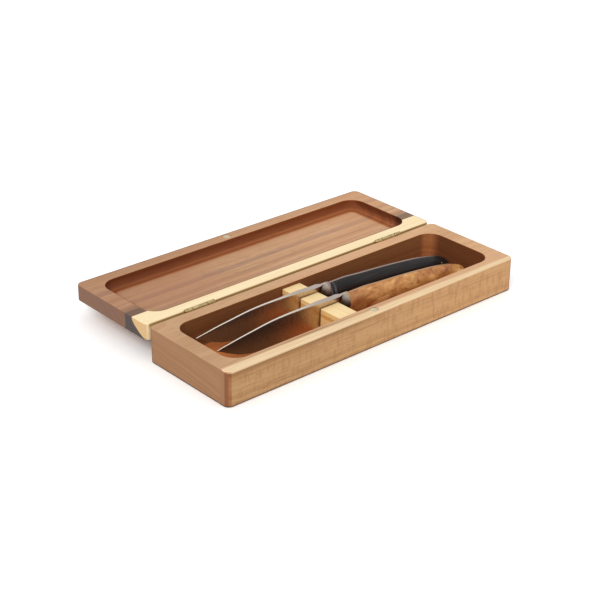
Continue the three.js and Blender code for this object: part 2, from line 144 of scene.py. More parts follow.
def carve(piece, tools, operation="DIFFERENCE"):
    for tool in tools:
        cut = piece.modifiers.new("carve", "BOOLEAN")
        cut.operation = operation
        cut.solver = "MANIFOLD"
        cut.object = tool
    settle(piece)
    for tool in tools:
        bpy.data.objects.remove(tool)


def settle(piece, sharpAngle=32):
    # What the modifiers make becomes the piece's own mesh
    bpy.context.view_layer.update()
    seen = piece.evaluated_get(bpy.context.evaluated_depsgraph_get())
    made = bpy.data.meshes.new_from_object(seen)
    piece.modifiers.clear()
    piece.data = made
    shadeSoft(piece, sharpAngle)


def soften(piece, width, segments=3, angle=40):
    edge = piece.modifiers.new("eased edges", "BEVEL")
    edge.width = width * mm
    edge.segments = segments
    edge.limit_method = "ANGLE"
    edge.angle_limit = math.radians(angle)
    edge.harden_normals = False


def finishPiece(piece, body, nodes, material):
    piece.data.materials.clear()
    piece.data.materials.append(material)
    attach(piece, body)
    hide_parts(*nodes)
    return piece


# Camera, light and floor

view = {
    "place": (-0.6360, -0.66965, 0.4764),
    "turn": 41.82,
    "downward": 26.43,
    "roll": 0.77,
    "lens": 89.96,
}


def placeCamera():
    # Forward from turn and downward angle; right and up are then rolled about it
    turn, down, roll = (math.radians(view[key]) for key in ("turn", "downward", "roll"))
    forward = Vector((math.sin(turn) * math.cos(down), math.cos(turn) * math.cos(down), -math.sin(down)))
    right = Vector((math.cos(turn), -math.sin(turn), 0))
    up = right.cross(forward)
    rolledRight = math.cos(roll) * right + math.sin(roll) * up
    rolledUp = math.cos(roll) * up - math.sin(roll) * right
    camera = bpy.data.objects.new("camera", bpy.data.cameras.new("camera"))
    camera.data.lens = view["lens"]
    camera.data.sensor_width = 36
    camera.data.clip_end = 50
    turnMatrix = Matrix((rolledRight, rolledUp, -forward)).transposed().to_4x4()
    camera.matrix_world = Matrix.Translation(view["place"]) @ turnMatrix
    bpy.context.scene.collection.objects.link(camera)
    bpy.context.scene.camera = camera


studio = {
    "sunFrom": (-0.70, -0.45, 0.75),
    "sunStrength": 1.15,
    "sunAngle": 30,
    "skyFrom": (0.1, 0.1, 1.0),
    "skyStart": -0.2,
    "skyLow": 0.50,
    "skyHigh": 0.88,
    "floorBounce": 0.82,
    "floorSeen": 1.2,
    "floorReach": 4000,
}


def lightSun():
    sun = bpy.data.objects.new("sun", bpy.data.lights.new("sun", "SUN"))
    sun.data.energy = studio["sunStrength"]
    sun.data.angle = math.radians(studio["sunAngle"])
    sun.rotation_euler = Vector(studio["sunFrom"]).to_track_quat("Z", "Y").to_euler()
    bpy.context.scene.collection.objects.link(sun)


def lightSky():
    # Brightness grows with the cosine of the angle to skyFrom; seen directly the sky is white
    world = bpy.data.worlds.new("studio")
    world.use_nodes = True
    bpy.context.scene.world = world
    tree = world.node_tree
    background = tree.nodes["Background"]
    background.inputs["Color"].default_value = (1, 1, 1, 1)
    coords = tree.nodes.new("ShaderNodeTexCoord")
    facing = tree.nodes.new("ShaderNodeVectorMath")
    facing.operation = "DOT_PRODUCT"
    facing.inputs[1].default_value = Vector(studio["skyFrom"]).normalized()
    tree.links.new(coords.outputs["Generated"], facing.inputs[0])
    glow = tree.nodes.new("ShaderNodeMapRange")
    glow.inputs["From Min"].default_value = studio["skyStart"]
    glow.inputs["To Min"].default_value = studio["skyLow"]
    glow.inputs["To Max"].default_value = studio["skyHigh"]
    tree.links.new(facing.outputs["Value"], glow.inputs["Value"])
    path = tree.nodes.new("ShaderNodeLightPath")
    seen = tree.nodes.new("ShaderNodeMix")
    seen.inputs["B"].default_value = 1.0
    tree.links.new(path.outputs["Is Camera Ray"], seen.inputs["Factor"])
    tree.links.new(glow.outputs["Result"], seen.inputs["A"])
    tree.links.new(seen.outputs["Result"], background.inputs["Strength"])


def layFloor():
    # White where the camera sees it, darker for the light that it throws back. Sockets 6 and 7
    # and output 2 of a mix node are its colours.
    corners = np.array([[-1, -1, 0], [1, -1, 0], [1, 1, 0], [-1, 1, 0]]) * studio["floorReach"]
    floor = makeMesh("floor", corners, [[0, 1, 2, 3]])
    material = bpy.data.materials.new("floor")
    material.use_nodes = True
    tree = material.node_tree
    shader = tree.nodes["Principled BSDF"]
    shader.inputs["Roughness"].default_value = 0.9
    shader.inputs["Specular IOR Level"].default_value = 0.0
    path = tree.nodes.new("ShaderNodeLightPath")
    tone = tree.nodes.new("ShaderNodeMix")
    tone.data_type = "RGBA"
    tone.inputs[6].default_value = (*[studio["floorBounce"]] * 3, 1)
    tone.inputs[7].default_value = (*[studio["floorSeen"]] * 3, 1)
    tree.links.new(path.outputs["Is Camera Ray"], tone.inputs["Factor"])
    tree.links.new(tone.outputs[2], shader.inputs["Base Color"])
    floor.data.materials.append(material)


bpy.context.scene.view_settings.view_transform = "Standard"
placeCamera()
lightSun()
lightSky()
layFloor()
print("camera, light and floor set")


# Finishes

# Where the model has the rim's height and the axis that the hinges turn about
trayBox, lidBox = cadBox("tray"), cadBox("lid")
rimZ = trayBox[1][2]
axisY = (trayBox[1][1] + lidBox[0][1]) / 2


def tint(red, green, blue):
    # A screen colour from 0 to 255 as the linear light that a shader takes
    level = np.array([red, green, blue], float) / 255
    linear = np.where(level <= 0.04045, level / 12.92, ((level + 0.055) / 1.055) ** 2.4)
    return (*linear.tolist(), 1.0)


class Finish:
    # One material, with short names for the nodes that draw it; place is in millimetres
    def __init__(self, name, **sockets):
        self.material = bpy.data.materials.new(name)
        self.material.use_nodes = True
        self.tree = self.material.node_tree
        self.shader = self.tree.nodes["Principled BSDF"]
        for socket, value in sockets.items():
            self.shader.inputs[socket.replace("_", " ")].default_value = value
        coords = self.add("ShaderNodeTexCoord")
        self.place = self.vector("MULTIPLY", coords.outputs["Object"], (1 / mm, 1 / mm, 1 / mm))
        self.x, self.y, self.z = self.parts(self.place)
        self.normal = coords.outputs["Normal"]
        self.facing = [self.calc("ABSOLUTE", part) for part in self.parts(self.normal)]

    def add(self, kind, inputs=None, **settings):
        made = self.tree.nodes.new(kind)
        for key, value in settings.items():
            setattr(made, key, value)
        for key, value in (inputs or {}).items():
            if isinstance(value, bpy.types.NodeSocket):
                self.tree.links.new(value, made.inputs[key])
            else:
                made.inputs[key].default_value = value
        return made

    def parts(self, vector):
        return list(self.add("ShaderNodeSeparateXYZ", {0: vector}).outputs)

    def calc(self, operation, a, b=0.0, c=0.0):
        return self.add("ShaderNodeMath", {0: a, 1: b, 2: c}, operation=operation).outputs[0]

    def vector(self, operation, a, b=(0, 0, 0)):
        made = self.add("ShaderNodeVectorMath", {0: a, 1: b}, operation=operation)
        return made.outputs["Value" if operation in ("LENGTH", "DOT_PRODUCT") else "Vector"]

    def noise(self, place, stretch, detail=2.0, roughness=0.5, distortion=0.0, colour=False):
        scaled = self.vector("MULTIPLY", place, stretch)
        made = self.add("ShaderNodeTexNoise", {"Vector": scaled, "Scale": 1.0, "Detail": detail,
                                               "Roughness": roughness, "Distortion": distortion})
        return made.outputs["Color" if colour else "Fac"]

    def lineNoise(self, along, scale, detail=2.0):
        return self.add("ShaderNodeTexNoise", {"W": along, "Scale": scale, "Detail": detail},
                        noise_dimensions="1D").outputs["Fac"]

    def step(self, value, low, high, atLow=0.0, atHigh=1.0):
        return self.add("ShaderNodeMapRange", {"Value": value, "From Min": low, "From Max": high,
                                               "To Min": atLow, "To Max": atHigh},
                        interpolation_type="SMOOTHSTEP").outputs["Result"]

    def ramp(self, value, stops):
        made = self.add("ShaderNodeValToRGB", {"Fac": value})
        band = made.color_ramp
        while len(band.elements) < len(stops):
            band.elements.new(0.5)
        for element, (position, colour) in zip(band.elements, stops):
            element.position = position
            element.color = colour
        return made.outputs["Color"]

    def mix(self, amount, a, b, how="MIX"):
        # Sockets 6 and 7 and output 2 are the node's colours
        made = self.add("ShaderNodeMix", data_type="RGBA", blend_type=how)
        for index, value in ((0, amount), (6, a), (7, b)):
            if isinstance(value, bpy.types.NodeSocket):
                self.tree.links.new(value, made.inputs[index])
            else:
                made.inputs[index].default_value = value
        return made.outputs[2]

    def wear(self, colour, roughness=None, height=None, depth=0.02, strength=0.5):
        self.tree.links.new(colour, self.shader.inputs["Base Color"])
        if roughness is not None:
            self.tree.links.new(roughness, self.shader.inputs["Roughness"])
        if height is not None:
            bump = self.add("ShaderNodeBump",
                            {"Height": height, "Distance": depth * mm, "Strength": strength})
            self.tree.links.new(bump.outputs["Normal"], self.shader.inputs["Normal"])
        return self.material


# What both halves share. Pairs that end in Rise, foot and groove are the heights or the
# distances between which a mark comes in.
marks = {
    "plankEnds": (-125, 110), "bandBlur": 0.8, "bandRise": (19, 24),
    # The line near the rim, the foot and the groove are painted shade, and the end wall tint is painted
    # shade on the pocket's end walls.
    "shadeLineWidth": (0.8, 0.9), "shadeLineRise": (23.6, 24.8), "lineAmount": 0.7, "foot": (1.5, 0.8),
    "groove": (1.95, 1.3), "grooveRise": (21.5, 24.5), "grooveShadeAmount": (0.3, 0.85),
    "endWallShade": (0.66, 0.60, 0.60, 1),
}


def growthRings(wood, look):
    # Rings are circles about an axis along X: s = |(y, z) - axis| + ringTaper x, read at a
    # place that slow noise has pushed about. The axis lies ringRadius from the sapwood's
    # border at the rim, in a direction that is ringSlope off the vertical.
    drift = wood.noise(wood.place, look["driftStretch"], detail=2, colour=True)
    push = wood.vector("MULTIPLY", wood.vector("SUBTRACT", drift, (0.5, 0.5, 0.5)),
                       (0, look["drift"], look["drift"]))
    place = wood.vector("ADD", wood.place, push)
    slope, radius = math.radians(look["ringSlope"]), look["ringRadius"]
    axis = (0, look["sapStart"] + radius * math.sin(slope), -radius * math.cos(slope))
    away = wood.vector("MULTIPLY", wood.vector("SUBTRACT", place, axis), (0, 1, 1))
    return place, wood.calc("MULTIPLY_ADD", wood.x, look["ringTaper"], wood.vector("LENGTH", away))


def heartwood(wood, look, rings, fibre, pore):
    # Broad bands and thin late wood are noise along the ring distance. Long fibres lighten
    # and darken them, and short pores and a slow cloud lie on top.
    colour = wood.ramp(wood.lineNoise(rings, look["bandScale"], 3), look["heart"])
    late = wood.step(wood.lineNoise(rings, look["lineScale"], 4), 0.56, 0.70)
    colour = wood.mix(wood.calc("MULTIPLY", late, look["lineAmount"]), colour, look["lineColour"])
    colour = wood.mix(wood.step(fibre, 0.35, 0.68, 0, look["fibreAmount"]), colour, look["fibreLight"])
    colour = wood.mix(wood.step(fibre, 0.52, 0.30, 0, look["fibreAmount"]), colour, look["fibreDark"])
    colour = wood.mix(wood.calc("MULTIPLY", pore, look["poreAmount"]), colour, look["poreColour"])
    cloud = wood.noise(wood.place, (0.012, 0.03, 0.03), detail=2)
    return wood.mix(wood.step(cloud, 0.38, 0.66, 0, look["cloudAmount"]), colour, look["cloudColour"])


def borderBand(wood, look, colour, place, endFace):
    # Where heart meets sap the wood is grey-brown: all of y < bandEnd, in full on the ends
    # and near the rim, and fading along X
    colour = wood.mix(wood.calc("MULTIPLY", endFace, look["endPlain"]), colour, look["endTone"])
    high, low = look["bandEnd"] + marks["bandBlur"], look["bandEnd"] - marks["bandBlur"]
    inBand = wood.step(wood.parts(place)[1], high, low, 0, look["bandAmount"])
    inBand = wood.calc("MULTIPLY", inBand, wood.step(wood.x, *look["bandFade"], look["bandRight"], 1))
    shown = wood.calc("MAXIMUM", endFace, wood.step(wood.z, *marks["bandRise"], look["bandBelow"], 1))
    tone = wood.mix(endFace, look["bandColour"], look["bandOnEnd"])
    return wood.mix(wood.calc("MULTIPLY", inBand, shown), colour, tone)


def plankFaces(wood, look, colour, endFace, sideFace):
    # The plank grows paler along X. Its side faces show short upright flecks, which are noise
    # stretched along Z, and the sawn ends are darker.
    plank = wood.mix(wood.step(wood.x, *marks["plankEnds"]), *look["paler"])
    colour = wood.mix(1.0, colour, plank, "MULTIPLY")
    colour = wood.mix(sideFace, colour, look["sideTint"], "MULTIPLY")
    upright = wood.noise(wood.place, (0.55, 0.55, 0.13), detail=3)
    fleck = wood.calc("MULTIPLY", wood.step(upright, 0.47, 0.66, 0, look["fleckAmount"]), sideFace)
    colour = wood.mix(fleck, colour, look["fleckColour"])
    return wood.mix(endFace, colour, look["endTint"], "MULTIPLY")


def sapwood(wood, look, colour, fibre, endFace):
    # Sapwood lies where y < sapStart - sapFall depth ^ sapPower + sapTaper x, with depth
    # measured down from the rim, and noise makes its border ragged
    depth = wood.calc("MAXIMUM", wood.calc("SUBTRACT", rimZ, wood.z), 0.0)
    depth = wood.calc("POWER", depth, look["sapPower"])
    border = wood.calc("MULTIPLY_ADD", depth, -look["sapFall"], look["sapStart"])
    border = wood.calc("MULTIPLY_ADD", wood.x, look["sapTaper"], border)
    ragged = wood.noise(wood.place, (0.02, 0.2, 0.2), detail=3)
    border = wood.calc("MULTIPLY_ADD", ragged, look["sapRagged"], border)
    inSap = wood.step(wood.calc("SUBTRACT", border, wood.y), -look["sapBlur"], look["sapBlur"])
    tone = wood.mix(wood.step(fibre, 0.3, 0.7), look["sapDark"], look["sapLight"])
    tone = wood.mix(endFace, tone, look["sapEnd"], "MULTIPLY")
    return wood.mix(inSap, colour, tone)


def cornersAndPaintedShade(wood, look, colour, corner, outside):
    # Rounded corners, where |nx ny| is high, are darker. Painted shade darkens the rim's outer
    # edge where its rounding turns away, the foot, and the groove between the halves.
    rounded = wood.step(wood.calc("ABSOLUTE", corner), 0.10, 0.38, 0, look["cornerAmount"])
    colour = wood.mix(wood.calc("MULTIPLY", rounded, outside), colour, look["cornerTint"], "MULTIPLY")
    # painted shade: a thin dark line on the rounding of the outer edge near the rim
    edges = [wood.step(at, start, start + width) for at, start, width
             in zip((wood.x, wood.y), look["shadeLineFrom"], marks["shadeLineWidth"])]
    risen = wood.step(wood.z, *marks["shadeLineRise"], 0, marks["lineAmount"])
    line = wood.calc("MULTIPLY", wood.calc("MAXIMUM", *edges), risen)
    colour = wood.mix(line, colour, look["edgeShadeColour"])
    # painted shade: a contact shadow along the foot
    colour = wood.mix(wood.step(wood.z, *marks["foot"], 0, look["footShadeAmount"]), colour, look["footShadeColour"])
    # painted shade in the gap between the halves, beside the hinge axis
    fromAxis = wood.calc("ABSOLUTE", wood.calc("SUBTRACT", wood.y, axisY))
    groove = wood.calc("MULTIPLY", wood.step(fromAxis, *marks["groove"]),
                       wood.step(wood.z, *marks["grooveRise"], *marks["grooveShadeAmount"]))
    return wood.mix(groove, colour, look["grooveShadeColour"])


def pocketOilLightAndShade(wood, look, colour, corner, routed):
    # Cut wood has soaked up oil: the colour is multiplied by a ramp over routed, from white
    # through the floor's tint to the wall's. Corners with nx ny > 0 are paler, a painted light,
    # and the end walls darker, a painted shade.
    oiled = wood.ramp(routed, [(0.0, (1, 1, 1, 1)), (0.5, look["floorTint"]), (1.0, look["wallTint"])])
    # painted light: the pocket's corners that face the light are paler
    litCorner = wood.calc("MULTIPLY", wood.step(corner, 0.15, 0.42, 0, look["cornerLitAmount"]), routed)
    oiled = wood.mix(litCorner, oiled, look["cornerLitWall"])
    # painted shade: the pocket's end walls are darker
    endWall = wood.calc("MULTIPLY", wood.step(wood.facing[0], 0.75, 0.95), routed)
    oiled = wood.mix(endWall, oiled, marks["endWallShade"], "MULTIPLY")
    return wood.mix(1.0, colour, oiled, "MULTIPLY")


def walnut(name, look):
    # Layer over layer: heartwood, the band beside the sap, the plank's own faces, sapwood,
    # darker corners with painted shade, and oil with painted light and shade in the pocket.
    # routed is 1 on the pocket's walls, and outside falls to 0 there.
    wood = Finish(name, IOR=1.45, Specular_IOR_Level=0.15)
    routed = wood.add("ShaderNodeAttribute", attribute_name="routed").outputs["Fac"]
    inPocket = wood.calc("MINIMUM", wood.calc("MULTIPLY", routed, 3.0), 1.0)
    outside = wood.calc("SUBTRACT", 1.0, inPocket)
    endFace, sideFace = (wood.calc("MULTIPLY", wood.step(part, 0.55, 0.85), outside)
                         for part in wood.facing[:2])
    corner = wood.calc("MULTIPLY", *wood.parts(wood.normal)[:2])

    place, rings = growthRings(wood, look)
    fibre = wood.noise(place, (0.022, 0.9, 0.9), detail=4, roughness=0.65)
    pore = wood.step(wood.noise(place, (0.10, 2.3, 2.3), detail=1), 0.60, 0.70)
    colour = heartwood(wood, look, rings, fibre, pore)
    colour = borderBand(wood, look, colour, place, endFace)
    colour = plankFaces(wood, look, colour, endFace, sideFace)
    colour = sapwood(wood, look, colour, fibre, endFace)
    colour = cornersAndPaintedShade(wood, look, colour, corner, outside)
    colour = pocketOilLightAndShade(wood, look, colour, corner, routed)
    height = wood.calc("SUBTRACT", wood.calc("MULTIPLY", fibre, 0.5), pore)
    return wood.wear(colour, wood.step(fibre, 0.3, 0.7, 0.50, 0.62), height, 0.03, 0.35)


trayLook = {
    "ringSlope": 12.4, "ringRadius": 400.0, "ringTaper": 0.006,
    "drift": 5.0, "driftStretch": (0.011, 0.02, 0.02),
    "bandScale": 0.20, "lineScale": 0.85, "lineAmount": 0.34, "fibreAmount": 0.30,
    "heart": [(0.30, tint(190, 146, 106)), (0.46, tint(204, 162, 122)), (0.60, tint(212, 171, 130)),
              (0.74, tint(196, 152, 112))],
    "lineColour": tint(164, 114, 74), "fibreLight": tint(220, 180, 140), "fibreDark": tint(182, 134, 94),
    "poreAmount": 0.45, "poreColour": tint(148, 100, 64),
    "cloudAmount": 0.35, "cloudColour": tint(204, 156, 120),
    "bandFade": (25, -45), "bandRight": 0.0, "paler": ((0.92, 0.92, 0.93, 1), (1.12, 1.12, 1.12, 1)),
    "bandEnd": -33.4, "bandAmount": 0.85, "bandBelow": 0.0, "bandColour": tint(162, 120, 82),
    "bandOnEnd": tint(196, 154, 116),
    "fleckAmount": 0.32, "fleckColour": tint(170, 114, 70),
    "sideTint": (1.0, 0.96, 0.80, 1), "endTint": (0.74, 0.65, 0.60, 1),
    "endPlain": 0.3, "endTone": tint(200, 158, 120),
    "sapStart": -36.3, "sapFall": 4.5, "sapPower": 1.0, "sapTaper": -0.012,
    "sapRagged": 1.6, "sapBlur": 1.6,
    "sapLight": tint(244, 216, 174), "sapDark": tint(228, 194, 150), "sapEnd": (0.80, 0.68, 0.55, 1),
    "cornerAmount": 1.0, "cornerTint": (0.72, 0.55, 0.52, 1),
    # The edge, foot and groove colours below are painted shade, and the pale corner colour of the pocket is
    # painted light.
    "shadeLineFrom": (131.3, 200.0), "edgeShadeColour": tint(160, 128, 104),
    "footShadeAmount": 0.75, "footShadeColour": tint(92, 68, 50), "grooveShadeColour": tint(132, 96, 54),
    "floorTint": (1.05, 0.55, 0.28, 1), "wallTint": (0.37, 0.235, 0.15, 1),
    "cornerLitAmount": 1.0, "cornerLitWall": (0.60, 0.37, 0.23, 1),
}
lidLook = {
    "ringSlope": 41.5, "ringRadius": 250.0, "ringTaper": 0.004,
    "drift": 4.0, "driftStretch": (0.009, 0.02, 0.02),
    "bandScale": 0.10, "lineScale": 0.45, "lineAmount": 0.21, "fibreAmount": 0.26,
    "heart": [(0.32, tint(160, 122, 96)), (0.44, tint(190, 144, 106)), (0.56, tint(206, 160, 118)),
              (0.70, tint(172, 132, 104))],
    "lineColour": tint(142, 98, 70), "fibreLight": tint(212, 170, 130), "fibreDark": tint(158, 112, 80),
    "poreAmount": 0.40, "poreColour": tint(122, 82, 58),
    "cloudAmount": 0.35, "cloudColour": tint(192, 136, 98),
    "bandFade": (25, -45), "bandRight": 1.0, "paler": ((0.84, 0.82, 0.87, 1), (1.13, 1.16, 1.22, 1)),
    "bandEnd": 66.5, "bandAmount": 0.92, "bandBelow": 0.42, "bandColour": tint(126, 100, 82),
    "bandOnEnd": tint(118, 112, 110),
    "fleckAmount": 0.2, "fleckColour": tint(140, 98, 70),
    "sideTint": (0.96, 0.92, 0.84, 1), "endTint": (0.62, 0.59, 0.58, 1),
    "endPlain": 0.7, "endTone": tint(186, 146, 122),
    "sapStart": 58.6, "sapFall": 0.227, "sapPower": 1.7, "sapTaper": -0.002,
    "sapRagged": 1.4, "sapBlur": 0.35,
    "sapLight": tint(255, 236, 196), "sapDark": tint(250, 222, 174), "sapEnd": (0.79, 0.65, 0.50, 1),
    "cornerAmount": 0.0, "cornerTint": (0.7, 0.6, 0.6, 1),
    # The edge, foot and groove colours below are painted shade, and the pale corner colour of the pocket is
    # painted light.
    "shadeLineFrom": (131.0, 123.3), "edgeShadeColour": tint(120, 98, 80),
    "footShadeAmount": 0.0, "footShadeColour": tint(110, 84, 62), "grooveShadeColour": tint(166, 124, 62),
    "floorTint": (0.70, 0.42, 0.26, 1), "wallTint": (0.37, 0.18, 0.10, 1),
    "cornerLitAmount": 0.0, "cornerLitWall": (0.4, 0.2, 0.12, 1),
}


def paleWood(name, look):
    # Nearly level growth layers: the colour is noise along z plus a slow drift. Between the
    # two heights of streak the colour is darker.
    wood = Finish(name, IOR=1.45, Specular_IOR_Level=0.35)
    drift = wood.noise(wood.place, (0.05, 0.05, 0.05), detail=2)
    layer = wood.calc("MULTIPLY_ADD", drift, look["drift"], wood.z)
    colour = wood.ramp(wood.lineNoise(layer, 0.45, 3), look["tones"])
    streak = wood.calc("MULTIPLY", *(wood.step(layer, start, start + blur)
                                     for start, blur in look["streak"]))
    colour = wood.mix(wood.calc("MULTIPLY", streak, look["streakAmount"]), colour, look["streakColour"])
    fibre = wood.noise(wood.place, (1.1, 0.03, 1.1), detail=4, roughness=0.6)
    colour = wood.mix(wood.step(fibre, 0.40, 0.70, 0, 0.35), colour, look["fibreColour"])
    colour = wood.mix(wood.step(wood.facing[0], 0.6, 0.9), colour, look["sideTint"], "MULTIPLY")
    return wood.wear(colour, wood.step(fibre, 0.3, 0.7, 0.48, 0.6), fibre, 0.02, 0.3)


restLook = {
    "drift": 3.0, "streak": [(18.2, 0.8), (21.4, -0.8)], "streakAmount": 0.75,
    "tones": [(0.3, tint(244, 208, 146)), (0.5, tint(252, 224, 170)), (0.7, tint(255, 232, 184))],
    "streakColour": tint(220, 160, 82), "fibreColour": tint(232, 192, 124),
    "sideTint": (1.04, 0.88, 0.66, 1),
}


def brass(name):
    # Drawn brass: a ramp over slow noise dulls it in patches, and fine noise along X is its
    # scratches
    metal = Finish(name, Metallic=1.0)
    patch = metal.noise(metal.place, (0.35, 0.35, 0.35), detail=4, roughness=0.65)
    colour = metal.ramp(patch, [(0.35, tint(172, 146, 92)), (0.55, tint(212, 190, 138)),
                                (0.75, tint(226, 208, 162))])
    scratch = metal.noise(metal.place, (0.4, 9, 9), detail=3)
    return metal.wear(colour, metal.step(patch, 0.3, 0.7, 0.44, 0.26), scratch, 0.006, 0.4)


steelLook = {
    "brushed": (tint(192, 178, 166), tint(216, 202, 190)), "cloudTone": tint(200, 186, 174),
    # The spine tone is a painted highlight, the side tints a painted reflection, and the under tint painted
    # shade.
    "spineAlong": (-25, -60), "spineHighlight": tint(255, 244, 228),
    "sideAlong": (-6, -10), "reflectionAlong": (-75, -35),
    "sideReflectionTints": ((0.42, 0.56, 0.74, 1), (1.0, 0.96, 0.90, 1)),
    "underAlong": (-10, -8), "underShade": (0.19, 0.14, 0.10, 1), "tangAlong": (-1.4, -0.8),
}


def bladeSteel(name, look, tangHighlight):
    # Satin steel: fine brush lines run up the blade, so the noise is stretched along Z. Each
    # Along pair gives the x between which a tint comes in: a painted highlight makes the spine
    # brighter towards the point, a painted reflection makes the ground sides darker and bluer
    # there, painted shade darkens the bolster where its normal turns away from Z, and a painted
    # highlight gives the tang's edge a tone like its handle's.
    metal = Finish(name, Metallic=1.0)
    brush = metal.noise(metal.place, (6.5, 6.5, 0.10), detail=3, roughness=0.6)
    cloud = metal.noise(metal.place, (0.05, 0.05, 0.05), detail=2)
    colour = metal.mix(metal.step(brush, 0.35, 0.65), *look["brushed"])
    colour = metal.mix(metal.step(cloud, 0.35, 0.65, 0, 0.4), colour, look["cloudTone"])
    side = metal.calc("MULTIPLY", metal.step(metal.facing[1], 0.55, 0.9),
                      metal.step(metal.x, *look["sideAlong"]))
    # painted highlight: the spine brighter towards the point
    spine = metal.calc("MULTIPLY", metal.calc("SUBTRACT", 1.0, side),
                       metal.step(metal.x, *look["spineAlong"]))
    colour = metal.mix(spine, colour, look["spineHighlight"])
    # painted reflection: the ground sides darker and bluer towards the point
    sideReflection = metal.mix(metal.step(metal.x, *look["reflectionAlong"]), *look["sideReflectionTints"])
    colour = metal.mix(side, colour, sideReflection, "MULTIPLY")
    # painted shade: the bolster darker where it faces down
    under = metal.step(metal.parts(metal.normal)[2], 0.75, 0.1)
    under = metal.calc("MULTIPLY", under, metal.step(metal.x, *look["underAlong"]))
    colour = metal.mix(under, colour, look["underShade"], "MULTIPLY")
    # painted highlight: the tang's edge in a tone like the handle's
    colour = metal.mix(metal.step(metal.x, *look["tangAlong"], 0, 0.9), colour, tangHighlight)
    return metal.wear(colour, metal.step(brush, 0.3, 0.7, 0.26, 0.36), brush, 0.004, 0.35)


def magnetPlating(name):
    # Bright plating, mixed by soft noise from a duller and a cleaner tone
    metal = Finish(name, Metallic=1.0)
    patch = metal.noise(metal.place, (0.8, 0.8, 0.8), detail=3)
    colour = metal.mix(metal.step(patch, 0.35, 0.65), tint(214, 196, 160), tint(246, 230, 198))
    return metal.wear(colour, metal.step(patch, 0.3, 0.7, 0.30, 0.18), patch, 0.004, 0.3)


def blackWood(name, look):
    # Near black, with brown and blue-grey fibres only just to be seen. The crests of the
    # beads get a painted highlight, where sin(pi fraction((x - beadFrom) / beadLength)) is high.
    wood = Finish(name, IOR=1.5, Specular_IOR_Level=0.25, Coat_Weight=0.12, Coat_Roughness=0.12)
    fibre = wood.noise(wood.place, (0.03, 1.3, 1.3), detail=4, roughness=0.6)
    cloud = wood.noise(wood.place, (0.03, 0.09, 0.09), detail=2)
    colour = wood.ramp(fibre, [(0.32, tint(17, 13, 14)), (0.52, tint(31, 27, 28)), (0.72, tint(54, 46, 43))])
    colour = wood.mix(wood.step(cloud, 0.40, 0.66, 0, 0.4), colour, tint(27, 25, 30))
    along = wood.calc("DIVIDE", wood.calc("SUBTRACT", wood.x, look["beadFrom"]), look["beadLength"])
    ridge = wood.calc("SINE", wood.calc("MULTIPLY", wood.calc("FRACT", along), math.pi))
    # painted highlight on the crests of the beads
    crestHighlight = wood.calc("MULTIPLY", wood.step(ridge, 0.55, 0.95), wood.step(along, 2.1, 1.9, 0, 0.6))
    colour = wood.mix(crestHighlight, colour, look["beadHighlight"])
    return wood.wear(colour, wood.step(fibre, 0.3, 0.7, 0.30, 0.42), fibre, 0.012, 0.3)


# The bead colour is a painted highlight on the crests.
blackLook = {"beadFrom": -1.5, "beadLength": 3.7, "beadHighlight": tint(92, 84, 88)}


burlLook = {
    "tones": [(0.28, tint(146, 84, 42)), (0.42, tint(184, 118, 62)), (0.54, tint(216, 154, 90)),
              (0.66, tint(244, 190, 122))],
    "push": (18, 12, 12), "eyeAmount": 0.6, "eyeColour": tint(96, 50, 26),
    "fibreColour": tint(150, 88, 44), "frontAlong": (24, 4), "frontColour": tint(150, 84, 48),
}


def burlWood(name, look):
    # Swirling figure: noise read at a place that other noise has pushed about, and dark
    # eyes where the distance to scattered points is small. The front is a deeper brown.
    wood = Finish(name, IOR=1.5, Specular_IOR_Level=0.3, Coat_Weight=0.15, Coat_Roughness=0.2)
    swirl = wood.noise(wood.place, (0.07, 0.10, 0.10), detail=3, colour=True)
    push = wood.vector("MULTIPLY", wood.vector("SUBTRACT", swirl, (0.5, 0.5, 0.5)), look["push"])
    place = wood.vector("ADD", wood.place, push)
    figure = wood.noise(place, (0.06, 0.14, 0.14), detail=4, roughness=0.55, distortion=0.4)
    colour = wood.ramp(figure, look["tones"])
    cells = wood.vector("MULTIPLY", place, (0.10, 0.13, 0.13))
    eyes = wood.add("ShaderNodeTexVoronoi", {"Vector": cells, "Scale": 1.0}).outputs["Distance"]
    colour = wood.mix(wood.step(eyes, 0.24, 0.08, 0, look["eyeAmount"]), colour, look["eyeColour"])
    fibre = wood.noise(place, (0.12, 1.4, 1.4), detail=3)
    colour = wood.mix(wood.step(fibre, 0.5, 0.75, 0, 0.3), colour, look["fibreColour"])
    colour = wood.mix(wood.step(wood.x, *look["frontAlong"], 0, 0.6), colour, look["frontColour"])
    return wood.wear(colour, wood.step(figure, 0.3, 0.7, 0.36, 0.28), figure, 0.02, 0.2)


finishes = {
    "tray_wood": walnut("tray walnut", trayLook),
    "lid_wood": walnut("lid walnut", lidLook),
    "pale_wood": paleWood("rest wood", restLook),
    "brass": brass("hinge brass"),
    # Each tang tint is a painted highlight in a tone like its handle's.
    "steel": bladeSteel("blade steel", steelLook, tint(164, 142, 132)),
    "steel_with_tang_highlight": bladeSteel("blade steel with a painted highlight on the tang", steelLook, tint(206, 156, 104)),
    "magnet": magnetPlating("magnet plating"),
    "black_handle": blackWood("black handle wood", blackLook),
    "burl_handle": burlWood("burl handle wood", burlLook),
}
print("finishes made:", len(finishes))


# The two wooden halves

